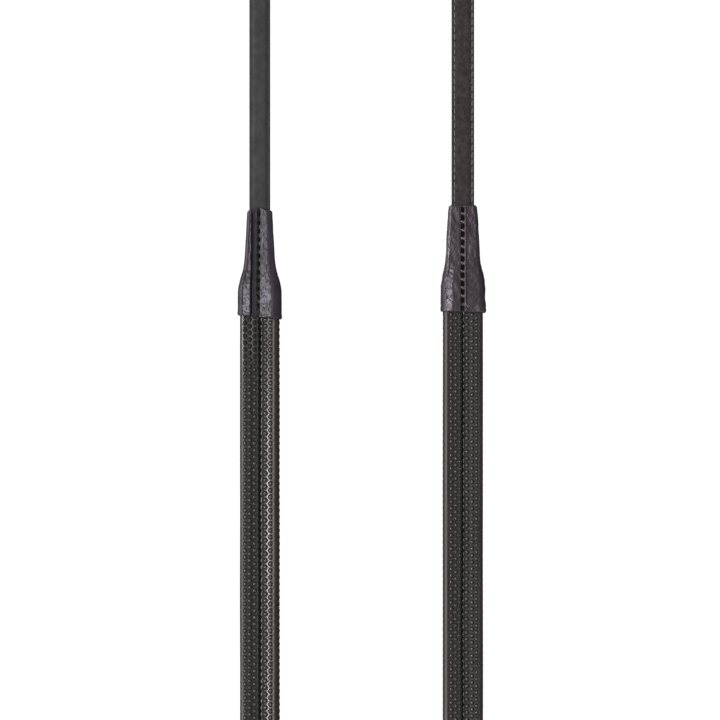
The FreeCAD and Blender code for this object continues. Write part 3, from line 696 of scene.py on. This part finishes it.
# Rings of a pimple: share of its radius, share of its height, and polish. Below zero the flanks
# get painted shade; above zero, as on the front's top ring and every tip, smoother gloss and a painted
# highlight.
FRONT_PIMPLE = ((0.98, -0.2, -1.0), (0.7, 0.45, -0.9), (0.56, 0.84, 0.7))
BACK_PIMPLE = ((1.0, -0.15, -0.8), (0.6, 0.75, 0.0))
# The cover dips in a valley along its seam: depth, distance of its steepest slope from the seam,
# and width of that slope.
VALLEY = {"left": 0.9, "right": 0.35}
STEEPEST, STEEP_WIDTH = 4.75, 0.85
# On the left grip, the left of the valley turns the other way this near to a sleeve.
OPENED, OPENED_FADE, TURNED = 31.0, 11.0, 1.7
# How flat the relief is pressed at the sides, for x below and above 0.
SIDE_FLAT = {"left": (0.95, 0.65), "right": (0.88, 0.88)}
SLEEVE_OVERLAP = 14.0
WANDER, WANDER_REACH, SWELL, UNEVEN = 0.35, 6, 0.1, 0.35
BORE_GAP = 0.15
TWINE_RADIUS, TWINE_DEPTH = 0.52, 1.05
PLAIN_RIDGE = 0.18
PINCH, TILE_GAP = 0.78, 0.06
# On the left grip the net gets smoother gloss and a painted highlight right of the seam, most at a
# middle with a spread, and left of it near a sleeve, where the pimples get painted shade.
GLOSS_AND_PAINTED_SHINE, GLOSS_AND_PAINTED_SHINE_PLACE = 1.2, (4.8, 2.0)
PAINTED_LIGHT_FROM, PAINTED_LIGHT_TO, PAINTED_DIMMING = -10.0, -1.0, 1.9


def rubber_surface(side, places, top):
    """Points of the cover at places of (length round the outline, distance from the top, height)."""
    width, depth, length = size_mm(f"{side}_rubber_grip")
    mirror = -SIDES[side]
    s, d, height = places.T
    seam_mid = sum(SEAM_STRIP[side]) / 2
    from_seam = np.abs(s - seam_mid)
    wander = np.array([ripple(0.013 * v, 4.0 * mirror) for v in d])
    swell = np.array([ripple(0.02 * v, 0.1 * u, 7.0 * mirror) for u, v in zip(s, d)])
    uneven = np.array([ripple(0.011 * v, 9.0, 4.0 * mirror) for v in d])
    s_now = s + WANDER * wander * np.maximum(0, 1 - from_seam / WANDER_REACH) + SEAM_SHIFT[side]
    x, y, nx, ny = on_outline(width / 2, depth / 2, EDGE_RADIUS, s_now)
    slope = fall_off(from_seam, STEEPEST, STEEP_WIDTH)
    to_end = np.minimum(d, length - d)
    if side == "left":
        opened = np.exp(-((np.maximum(to_end, OPENED) - OPENED) / OPENED_FADE) ** 2)
        slope *= 1 - TURNED * opened * fall_off(s, seam_mid, 0.4)
    valley = np.where(y < 0, VALLEY[side] * (1 + UNEVEN * uneven) * slope, 0)
    at_side = np.clip((depth / 2 + 0.3 - np.abs(y)) / 1.5, 0, 1)
    height = height * (1 - np.where(x < 0, *SIDE_FLAT[side]) * at_side)
    pressed = np.clip((to_end - SLEEVE_OVERLAP + 3) / 3, 0, 1)
    lift = (height * pressed - BASE_DROP) - valley + SWELL * swell * pressed
    return np.stack([mirror * (x + nx * lift) + ARM[side], y + ny * lift, top - d], axis=1)


def seam_wave(k):
    """Sideways shift of the seam at row k."""
    return 0.3 * math.sin(math.pi * k / 2 + 0.6) + 0.3 * ripple(0.6 * k, 3.0)


def stitch_pull(k):
    """How far the thread pulls the seam together at row k."""
    return 0.3 * math.sin(math.pi * k / 2 + 2.2)


def rubber_grip(side):
    """The pimpled cover. Its outline is divided into strips that run the whole length, and a
    pimple strip is divided into tiles, each with rings round one pimple."""
    top = box_mm(f"{side}_rubber_grip")[1][2]
    width, depth, length = size_mm(f"{side}_rubber_grip")
    around = outline_length(width / 2, depth / 2, EDGE_RADIUS)
    quarter = PITCH / 4
    rows = int(length / quarter) // 4 * 4
    slack = (length - rows * quarter) / 2
    front = FRONT_EDGES[side]
    back = around + front[0] - front[-1]
    edges = front + [front[-1] + back * (k + 1) / BACK_COLUMNS for k in range(BACK_COLUMNS)]
    points, faces, polish_and_painted_light_values = [], [], []

    def add(s, d, height=0.0, polish_and_painted_light=0.0):
        """A point at length s round the outline and distance d from the top."""
        points.append((s, d, height))
        polish_and_painted_light_values.append(polish_and_painted_light)
        return len(points) - 1

    # Neighbouring pimple columns are half a pitch apart, and the line between them is a zigzag.
    offsets, phase = [], 0
    for strip in zip(edges, edges[1:]):
        pimpled = strip != SEAM_STRIP[side] and strip not in PLAIN_STRIPS
        phase = 1 - phase if pimpled else phase
        offsets.append(2 * phase if pimpled else None)
    columns = []
    for edge, s in enumerate(edges[:-1]):
        # On the left grip the net gets smoother gloss and a painted highlight.
        gloss_and_painted_shine = GLOSS_AND_PAINTED_SHINE * hill(s, *GLOSS_AND_PAINTED_SHINE_PLACE) if side == "left" else 0.0
        wear_and_painted_light = 1.0 if side == "left" and PAINTED_LIGHT_FROM < s < PAINTED_LIGHT_TO else 0.0
        before = offsets[edge - 1]
        swing = 0.0 if None in (before, offsets[edge]) or before == offsets[edge] else ZIGZAG
        column = []
        for k in range(rows + 1):
            near = hill(max(min(k, rows - k) * quarter, OPENED), OPENED, OPENED_FADE)
            turn = math.cos(math.pi * (k - (before or 0)) / 2)
            column.append(add(s - swing * turn, k * quarter, 0.0, gloss_and_painted_shine * (1 - 0.7 * near) + wear_and_painted_light * near))
        columns.append(column)
    columns.append(columns[0])

    def plain(left, right, first=0, last=rows):
        for k in range(first, last):
            faces.append((left[k], right[k], right[k + 1], left[k + 1]))

    for strip, (s0, s1) in enumerate(zip(edges, edges[1:])):
        left, right = columns[strip], columns[strip + 1]
        if (s0, s1) == SEAM_STRIP[side]:
            for share, deep in ACROSS_SEAM[side]:
                line = []
                for k in range(rows + 1):
                    pinch = PINCH + stitch_pull(k)
                    across = 0.5 + (share - 0.5) * pinch
                    # Points below the surface get painted shade, and the raised lip smoother gloss and a
                    # painted highlight.
                    line.append(add(s0 + (s1 - s0) * across + seam_wave(k), k * quarter, deep * pinch,
                                    -1.0 if deep < 0 else 0.9))
                plain(left, line)
                left = line
            plain(left, right)
            continue
        middle_s = (s0 + s1) / 2
        if (s0, s1) in PLAIN_STRIPS:
            ridge = [add(middle_s, k * quarter, PLAIN_RIDGE) for k in range(rows + 1)]
            plain(left, ridge)
            plain(ridge, right)
            continue
        offset = offsets[strip]
        if offset:
            plain(left, right, 0, offset)
            plain(left, right, rows - 4 + offset, rows)
        radius = min(PIMPLE_RADIUS, (s1 - s0) / 2 - TILE_GAP)
        upper = add(middle_s, offset * quarter, 0.0, (polish_and_painted_light_values[left[offset]] + polish_and_painted_light_values[right[offset]]) / 2)
        if offset:
            faces.append((left[offset], upper, right[offset]))
        for k0 in range(offset, rows - offset, 4):
            gloss_and_painted_shine = (polish_and_painted_light_values[left[k0 + 4]] + polish_and_painted_light_values[right[k0 + 4]]) / 2
            lower = add(middle_s, (k0 + 4) * quarter, 0.0, gloss_and_painted_shine)
            rim = [left[k0], upper, *right[k0:k0 + 5], lower, *left[k0 + 4:k0:-1]]
            middle_d = (k0 + 2) * quarter
            angles = [math.atan2((points[i][0] - middle_s + around / 2) % around - around / 2,
                                 middle_d - points[i][1]) for i in rim]
            # Near a sleeve, left of the seam, the pimples get painted shade and lose their painted
            # highlight.
            painted_dim = PAINTED_DIMMING * polish_and_painted_light_values[left[k0 + 2]] if s1 < 0 else 0.0
            for share, rise, polish_and_painted_light in FRONT_PIMPLE if strip < len(front) else BACK_PIMPLE:
                r = radius * share
                inner = [add(middle_s + r * math.sin(a), middle_d - r * math.cos(a),
                             PIMPLE_HEIGHT * rise, polish_and_painted_light - painted_dim) for a in angles]
                faces += zip(rim, rim[1:] + rim[:1], inner[1:] + inner[:1], inner)
                rim = inner
            tip = add(middle_s, middle_d, PIMPLE_HEIGHT, 1.0 - painted_dim)
            faces += [(a, b, tip) for a, b in zip(rim, rim[1:] + rim[:1])]
            upper = lower
        if offset:
            last = rows - 4 + offset
            faces.append((right[last], upper, left[last]))
    points = rubber_surface(side, np.array(points), top - slack)
    # The ends: a flat rim down to the core, hidden inside the sleeves.
    bore_size = np.array([CORE_WIDTH / 2 + BORE_GAP, THICK / 2 + BORE_GAP, 1e9])
    middle = np.array([ARM[side], 0, 0])
    bores = []
    for k in (0, rows):
        rim = [column[k] for column in columns[:-1]]
        bore = list(range(len(points), len(points) + len(rim)))
        points = np.concatenate([points, np.clip(points[rim] - middle, -bore_size, bore_size) + middle])
        faces += [(rim[i], rim[i - 1], bore[i - 1], bore[i]) for i in range(len(rim))]
        bores.append(bore)
    faces += [(bores[0][i], bores[0][i - 1], bores[1][i - 1], bores[1][i]) for i in range(len(bores[0]))]
    piece = mesh_piece(f"{side}_pimpled_rubber", points, faces, RUBBER, body=f"{side}_grip",
                       slot="grip_rubber", replaced=[f"{side}_rubber_grip"])
    give_polish_and_painted_light(piece, polish_and_painted_light_values)


def grip_seam_thread(side):
    """The heavy thread in the rubber's seam, which is thick at each stitch."""
    quarter = PITCH / 4
    rows = int(size_mm(f"{side}_rubber_grip")[2] / quarter)
    start, end = SEAM_STRIP[side]
    middle = start + (end - start) * SEAM_THREAD_SHARE[side]
    places = [(middle + seam_wave(k), k * quarter, stitch_pull(k) - TWINE_DEPTH) for k in range(4, rows - 3)]
    path = rubber_surface(side, np.array(places), box_mm(f"{side}_rubber_grip")[1][2])
    swept_rings(tube(path, TWINE_RADIUS, 6), f"{side}_grip_seam_twine", DARK_THREAD, body=f"{side}_grip",
                slot="dark_thread", replaced=[f"{side}_grip_seam_thread"])


# ---- sleeves

# Width and depth of a sleeve at distances from its narrow end.
SLEEVE_WIDTH = {"left": [(0, 14.7), (17, 16.4), (34, 19.4), (41, 23.4), (47.5, 25.5), (62, 25.7)],
                "right": [(0, 16.5), (20, 19.0), (34, 20.7), (41, 24.3), (47.5, 25.9), (62, 26.2)]}
SLEEVE_DEPTH = [(0, 5.0), (18, 5.2), (34, 6.0), (41, 8.4), (47.5, 9.8), (62, 9.9)]
SLEEVE_WALL = 0.9
# How far the wide end slants, the half width of the finely modelled front, and the mesh's steps.
SLANT = {"left": 1.2, "right": -0.4}
FINE_HALF, FINE_STEP, REAR_STEPS, SLEEVE_STEP = 15.0, 0.32, 34, 0.46
STITCH_START, STITCH_PITCH = 2.4, 4.8
SLEEVE_SEAM = {"left": -1.1, "right": 0.1}
# Distance of the left sleeves' lap edge from their seam.
LAP_EDGE = 3.9
# Points of a stitch: across the seam, along it, and height over the leather.
SEAM_STITCH = {"left": ((-0.3, -1.3, -1.6), (-0.1, -0.7, -0.75), (0, 0, -0.6), (0.1, 0.7, -0.75),
                        (0.3, 1.3, -1.6)),
               "right": ((1.5, -0.75, -0.5), (0.9, -0.45, 0.1), (0, 0, 0.05), (-1.1, 0.5, 0.3),
                         (-1.9, 0.9, -0.3))}
# Loose threads at the right hand sleeve: place round it, distance past its wide end, and height.
LOOSE_THREADS = (((-2.3, -17.5, 0.2), (-1.9, -16.7, 0.55), (-1.4, -17.1, 0.3)),
                 ((-1.0, -7.0, 0.3), (-1.7, -4.5, 0.75), (-2.6, -3.1, 0.55), (-3.6, -2.9, 0.5),
                  (-4.1, -3.9, 0.35)),
                 ((-1.2, -0.5, -0.2), (-1.9, -1.3, 0.6), (-2.3, -2.5, 0.6)))


def wrinkles(x, y, seed):
    """Sharp creases between round folds, from -1 to 1."""
    return 1 - 3.2 * abs(ripple(x, y, seed)) + 0.3 * ripple(2 * x, 2 * y, seed + 5)


def left_sleeve_relief(q, d, share, length, seed):
    """Height and polish of the left sleeves' leather: a smooth strip laps over a seam of deep stitch
    holes, and glossy leather puckers on both sides of it. Below zero, polish is recessed and paints
    shade into the colour. share is the outline's length here as a share of its length at the wide end."""
    to_seam = (q - SLEEVE_SEAM["left"]) * share
    beat = math.cos(2 * math.pi * (d - STITCH_START) / STITCH_PITCH)
    outer = step_up(q, -11.0, -9.6) * (1 - step_up(to_seam, -4.5, -4.0))
    inner = step_up(to_seam, 0.4, 1.1) * (1 - step_up(q, 5.8, 7.0))
    height = 0.25 * (q + 7.6) * share * outer + 0.25 * (q - 3.6) * share * inner
    height -= 0.6 * step_up(to_seam, -LAP_EDGE, -3.5) * (1 - step_up(to_seam, 0.5, 1.4))
    height += 0.7 * share * (1 - step_up(abs(q - 7.0), 0.5, 4.5)) * step_up(q, 5.8, 7.0)
    groove = hill(to_seam, -LAP_EDGE, 0.4)
    hole = (1 - step_up(abs(to_seam), 0.5, 1.05)) * step_up(beat, 0.0, 0.5)
    height += 0.3 * hill(to_seam, -3.1, 0.35) - 0.85 * groove - 1.2 * hole - 0.3 * hill(to_seam, 0, 0.6)
    polish_and_painted_light = max(outer, inner)
    fan = ripple(0.22 * q, 0.1 * d, seed)
    height += polish_and_painted_light * 0.07 * beat_fold(d + 3.0 * fan + 0.10 * abs(to_seam) ** 1.4, STITCH_PITCH)
    height += polish_and_painted_light * 0.36 * ripple(0.5 * q, 0.5 * d, seed + 1)
    height += polish_and_painted_light * 0.07 * wrinkles(0.33 * q, 0.36 * d, seed + 7)
    height += polish_and_painted_light * 0.06 * wrinkles(0.2 * q, 0.3 * d, seed + 4)
    height += (1 - polish_and_painted_light) * 0.05 * wrinkles(0.15 * q, 0.2 * d, seed + 2)
    gathered = (1 - step_up(d, 1.0, 9.0)) * hill(to_seam, 0, 3.0)
    height += gathered * 0.4 * wrinkles(0.5 * q, 0.25 * d, seed + 3)
    wear_and_painted_light = ripple(0.5 * q, 0.45 * d, seed + 6)
    polish_and_painted_light *= (1 - 0.6 * gathered) * (0.3 + 0.45 * step_up(d, 28, 42) + 0.8 * wear_and_painted_light)
    # Painted shade on the recessed lap strip, in the lap edge's groove, in the stitch holes and along the
    # seam.
    polish_and_painted_light -= 0.6 * step_up(to_seam, -LAP_EDGE, -3.3) * (1 - step_up(to_seam, 0.0, 0.8))
    polish_and_painted_light -= 1.5 * groove + 1.6 * hole + 0.5 * hill(to_seam, 0, 0.7)
    return height + 0.2 * hill(d, length - 1.0, 1.1), polish_and_painted_light


def right_sleeve_relief(q, d, share, length, seed):
    """Height and polish of the right sleeves' leather: two edges meet at a ladder of slots, beside a
    raised lip, and the matte leather has fine slanting creases. One rubbed band wrinkles."""
    to_seam = (q - SLEEVE_SEAM["right"]) * share
    beat = math.cos(2 * math.pi * (d - STITCH_START) / STITCH_PITCH)
    low_part = step_up(d, 33, 39)
    band = step_up(q, 10.6 - 4.6 * low_part, 11.4 - 4.6 * low_part)
    band *= 1 - step_up(q, 12.6 - 2.8 * low_part, 13.2)
    slot = (1 - step_up(abs(to_seam), 0.65, 1.15)) * step_up(beat, -0.4, 0.15)
    height = -1.5 * slot - 0.25 * hill(to_seam, 0, 1.1)
    height += 0.6 * hill(to_seam, -1.65, 0.5) * (0.75 + 0.25 * beat)
    height += 0.15 * wrinkles(0.12 * q + 0.12 * d, 0.05 * d - 0.1 * q, seed)
    height += 0.09 * wrinkles(0.4 * q - 0.2 * d, 0.4 * d, seed + 1)
    fall = low_part * min(3.2, max(0.0, q - 6.2))
    height -= 0.27 * fall * share * (1 - step_up(q, 12.0, 20.0))
    folds = 0.12 * wrinkles(0.2 * q, 0.3 * d, seed + 2) + 0.08 * beat_fold(d + 0.5 * q, 2.6)
    height += band * low_part * folds
    corner = step_up(d, length - 9, length) * hill(q, -13.0, 3.0)
    wear_and_painted_light = ripple(0.6 * q, 0.5 * d, seed + 6)
    polish_and_painted_light = band * (1.0 - 0.25 * low_part + 0.6 * wear_and_painted_light) + 0.9 * hill(to_seam, -1.5, 0.6)
    # Painted shade in the slots and along the seam.
    polish_and_painted_light -= 1.8 * slot + 0.3 * hill(to_seam, 0, 1.0)
    return height + 0.9 * corner + 0.2 * hill(d, length - 0.8, 0.9), polish_and_painted_light


def beat_fold(d, pitch):
    """Round folds with narrow valleys, once in each pitch."""
    return 1 - 2 * abs(math.sin(math.pi * (d / pitch))) ** 0.6


RELIEF = {"left": left_sleeve_relief, "right": right_sleeve_relief}


def sleeve_size(side, d, wall=0.0):
    """Half width, half depth and corner radius of a sleeve at distance d from its narrow end."""
    half_depth = smooth_table(SLEEVE_DEPTH, d) / 2 - wall
    return smooth_table(SLEEVE_WIDTH[side], d) / 2 - wall, half_depth, half_depth * 0.8


def outline_share(side, d, wall=0.0):
    return outline_length(*sleeve_size(side, d, wall)) / outline_length(*sleeve_size(side, 1e3))


def sleeve_outline(side, d, q, lift=0.0, wall=0.0):
    """Points of a sleeve at distance d from the narrow end, pushed out by lift. q is a length round
    the outline of the wide end, from the middle of the seam side."""
    x, y, nx, ny = on_outline(*sleeve_size(side, d, wall), q * outline_share(side, d, wall))
    return x + nx * lift, y + ny * lift


def sleeve(side, end):
    low, high = box_mm(f"{side}_{end}_sleeve")
    length = high[2] - low[2]
    around = outline_length(*sleeve_size(side, length))
    half_wide = sleeve_size(side, length)[0]
    mirror = -SIDES[side]
    front = np.arange(-FINE_HALF, FINE_HALF, FINE_STEP)
    rear = np.linspace(FINE_HALF, around - FINE_HALF, REAR_STEPS)[:-1]
    q = np.concatenate([front, rear])
    from_seam = np.where(q > around / 2, q - around, q)
    seed = 10.0 * mirror + (3.0 if end == "hand" else 8.0)

    def ring(d, lift, wall=0.0, past=0.0):
        x, y = sleeve_outline(side, d, q, lift, wall)
        skew = SLANT[side] * step_up(d, length - 22, length) * x / half_wide
        near_top = 1 - step_up(d, 0.0, 7.0)
        edge = np.clip((np.abs(x) / (SLEEVE_WIDTH[side][0][1] / 2) - 0.75) / 0.25, 0, 1)
        skew = skew + near_top * 0.9 * edge**2
        if side == "left":
            skew = skew - near_top * 1.7 * np.exp(-(((x - 0.4) / 2.2) ** 2)) * (y < 0)
        z = np.full_like(x, d) + past + skew
        z = high[2] - z if end == "hand" else low[2] + z
        return np.stack([mirror * x + ARM[side], y, z], axis=1)

    rings, polish_and_painted_light_values, relief = [], [], RELIEF[side]
    for d in np.arange(0, length + 0.01, SLEEVE_STEP):
        share = outline_share(side, d)
        lift, polish_and_painted_light = np.array([relief(v, d, share, length, seed) for v in from_seam]).T
        polish_and_painted_light_values.append(polish_and_painted_light)
        lift *= 0.3 + 0.7 * step_up(d, 0.0, 1.2) * step_up(length - d, 0.0, 1.0)
        rings.append(ring(d, lift))
    rings.append(ring(length, lift - SLEEVE_WALL * 0.5, past=0.35))
    for d in (length, *np.arange(length - 2.0, 0.5, -4.0), 0.0):
        rings.append(ring(d, 0.0, SLEEVE_WALL))
    rings.append(ring(0.0, -0.45, past=-0.3))
    piece = swept_rings(rings, f"{side}_{end}_sleeve_leather", SLEEVE_LEATHER[side], closed=True,
                        body=f"{side}_grip", slot="sleeve_leather", replaced=[f"{side}_{end}_sleeve"])
    give_polish_and_painted_light(piece, np.concatenate(polish_and_painted_light_values))


def sleeve_stitches(side, end):
    """Left: short dark threads in the stitch holes. Right: slanting threads between the slots."""
    low, high = box_mm(f"{side}_{end}_sleeve")
    length = high[2] - low[2]
    mirror = -SIDES[side]
    seam = SLEEVE_SEAM[side]

    def at(q, d, height):
        x, y = sleeve_outline(side, d, np.array([seam + (q - seam) / outline_share(side, d)]))
        z = high[2] - d if end == "hand" else low[2] + d
        return (mirror * x[0] + ARM[side], y[0] - height, z)

    paths = []
    count = int((length - 2 * STITCH_START) / STITCH_PITCH) + 1
    places = STITCH_START + STITCH_PITCH * np.arange(count)
    if side == "right":
        places = places[:-1] + STITCH_PITCH / 2
    for d in places:
        paths.append([at(seam + q, d + along, height) for q, along, height in SEAM_STITCH[side]])
    if side == "right" and end == "hand":
        for loose in LOOSE_THREADS:
            paths.append([at(q, length + past, height) for q, past, height in loose])
    grip_thread = {"body": f"{side}_grip", "slot": "dark_thread"}
    # A dark cord put where there is only shade, as painted shade: in the lap edge's groove on the left,
    # under the slots on the right.
    if side == "left":
        part, radius, reach, q, height = "edge_line", 0.4, (1.5, length - 0.8), seam - LAP_EDGE, -0.5
    else:
        part, radius, reach, q, height = "cord", 0.75, (1.0, length - 0.5), seam, -1.2
    cord = [at(q, d, height) for d in np.arange(*reach, 2.0)]
    many_tubes([cord], radius, f"{side}_{end}_sleeve_{part}", DARK_THREAD, **grip_thread)
    material, radius = (DARK_THREAD, 0.6) if side == "left" else (SEAM_THREAD, 0.22)
    many_tubes(paths, radius, f"{side}_{end}_sleeve_thread", material,
               replaced=[f"{side}_{end}_sleeve_stitching"], **grip_thread)


# ---- keepers and small stitching

KEEPER_WALL, KEEPER_CORNER, KEEPER_COLUMNS = 1.6, 1.5, 56
CHAPE_ROWS, CHAPE_THREAD = (-39.0, -36.6, -29.2), 0.26


def keeper(node, body, along):
    """A leather loop round the strap, with rounded corners and a slightly crowned outside. along is
    the axis that the strap passes through."""
    low, high = box_mm(node)
    middle, size = (low + high) / 2, high - low
    across = 1 if along == 0 else 0
    third = 3 - along - across
    columns = np.arange(KEEPER_COLUMNS) / KEEPER_COLUMNS
    half = size[along] / 2
    profile = [(share * half, -0.45 * abs(share) ** 6 - 0.08 * share**2)
               for share in (-1.0, -0.86, -0.5, 0.0, 0.5, 0.86, 1.0)]
    profile += [(share * half, -KEEPER_WALL + 0.3 * abs(share) ** 6)
                for share in (1.0, 0.6, 0.0, -0.6, -1.0)]
    rings = []
    for offset, inward in profile:
        w, h = size[across] / 2 + inward, size[third] / 2 + inward
        r = max(0.25, KEEPER_CORNER + inward)
        x, y, _, _ = on_outline(w, h, r, columns * outline_length(w, h, r))
        points = np.zeros((len(x), 3))
        points[:, across] = middle[across] + x
        points[:, third] = middle[third] + y
        points[:, along] = middle[along] + offset
        rings.append(points)
    swept_rings(rings, f"{node}_leather", KEEPER, closed=True, body=body, slot="keeper_leather",
                replaced=[node])


def chape_stitches():
    """Stitches through the left strap and its turned-back end, seen on both faces."""
    low, high = box_mm("chape_stitching")
    half, top, bottom = (high[1] - low[1]) / 2 - 0.4, high[2] - 0.05, low[2] + 0.05
    paths = []
    for x in CHAPE_ROWS:
        for y in (-half, half):
            for z, inward in ((top, -0.5), (bottom, 0.5)):
                paths.append([(x - 1.0, y, z + inward), (x - 0.7, y, z), (x, y, z + inward * 0.1),
                              (x + 0.7, y, z), (x + 1.0, y, z + inward)])
    many_tubes(paths, CHAPE_THREAD, "chape_stitches", DARK_THREAD, 6, body="hand_loop",
               slot="dark_thread", replaced=["chape_stitching"])


# ---- build

for side in SIDES:
    stations = hand_strap(side)
    core_strap(side)
    bit_strap(side)
    rubber_grip(side)
    grip_seam_thread(side)
    for end in ("hand", "bit"):
        sleeve(side, end)
        sleeve_stitches(side, end)
    keeper(f"{side}_bit_fixed_keeper", f"{side}_bit_end", 2)
    keeper(f"{side}_bit_running_keeper", f"{side}_bit_slider", 2)
strap_stitching(stations, "right_strap_edge_stitches", "right_hand_bend", "hand_loop", "right_grip",
                ["right_strap_stitching"])
keeper("centre_fixed_keeper", "hand_loop", 0)
keeper("centre_running_keeper", "centre_slider", 0)
chape_stitches()

for name, node in frame["nodes"].items():
    if not node.hide_render:
        for index in range(len(node.material_slots)):
            node.material_slots[index].material = STEEL
        node.data.polygons.foreach_set("use_smooth", [True] * len(node.data.polygons))


# ---- stage, light and camera

def floor():
    shape = bmesh.new()
    bmesh.ops.create_grid(shape, x_segments=1, y_segments=1, size=2.0)
    mesh = bpy.data.meshes.new("floor")
    shape.to_mesh(mesh)
    shape.free()
    material, tree, shader = new_material("pale_floor", (0.85, 0.85, 0.85), 0.7)
    grain = noise_texture(tree, object_coordinates(tree), 6.0)
    tree.links.new(colour_ramp(tree, grain, 0.3, 0.7, (0.83, 0.83, 0.83), (0.87, 0.87, 0.87)),
                   shader.inputs["Base Color"])
    mesh.materials.append(material)
    piece = add_object("floor", mesh)
    piece.location = (0, 0, cad_box[0][2] - 0.02)


def area_light(name, place, size, power):
    """A soft rectangular lamp that points at the middle of the view. Lengths are metres."""
    lamp = bpy.data.lights.new(name, "AREA")
    lamp.shape = "RECTANGLE"
    lamp.size, lamp.size_y = size
    lamp.energy = power
    piece = add_object(name, lamp)
    piece.location = place
    piece.rotation_euler = (VIEW_CENTRE - Vector(place)).to_track_quat("-Z", "Y").to_euler()


def white_world(background, ambient):
    """White behind the object, and a weaker white light all round it."""
    world = bpy.data.worlds.new("studio")
    bpy.context.scene.world = world
    world.use_nodes = True
    tree = world.node_tree
    shader = tree.nodes["Background"]
    shader.inputs["Color"].default_value = (1, 1, 1, 1)
    rays = tree.nodes.new("ShaderNodeLightPath")
    strength = value_range(tree, rays.outputs["Is Camera Ray"], 0.0, 1.0, ambient, background)
    tree.links.new(strength, shader.inputs["Strength"])


VIEW_CENTRE = Vector((-0.00076, 0.0, -0.3636))
VIEW_SIZE, DISTANCE, SENSOR = 0.4198, 6.0, 36

floor()
white_world(1.05, 0.13)
area_light("left_strip", (-0.95, -1.65, -0.3), (0.2, 1.4), 36)
area_light("top_soft", (0.0, -1.3, 1.3), (1.4, 0.8), 9)
area_light("left_soft", (-1.8, -0.5, -0.2), (1.0, 1.6), 18)
area_light("right_fill", (1.7, -0.9, -0.3), (0.5, 1.6), 3)
area_light("back_soft", (0.0, 2.2, 0.6), (2.0, 1.6), 40)

scene = bpy.context.scene
scene.view_settings.view_transform = "Standard"
camera = bpy.data.cameras.new("camera")
camera.sensor_width = SENSOR
camera.lens = SENSOR * DISTANCE / VIEW_SIZE
camera.clip_end = 50
viewer = add_object("camera", camera)
viewer.location = VIEW_CENTRE + Vector((0, -DISTANCE, 0))
viewer.rotation_euler = (math.pi / 2, 0, 0)
scene.camera = viewer
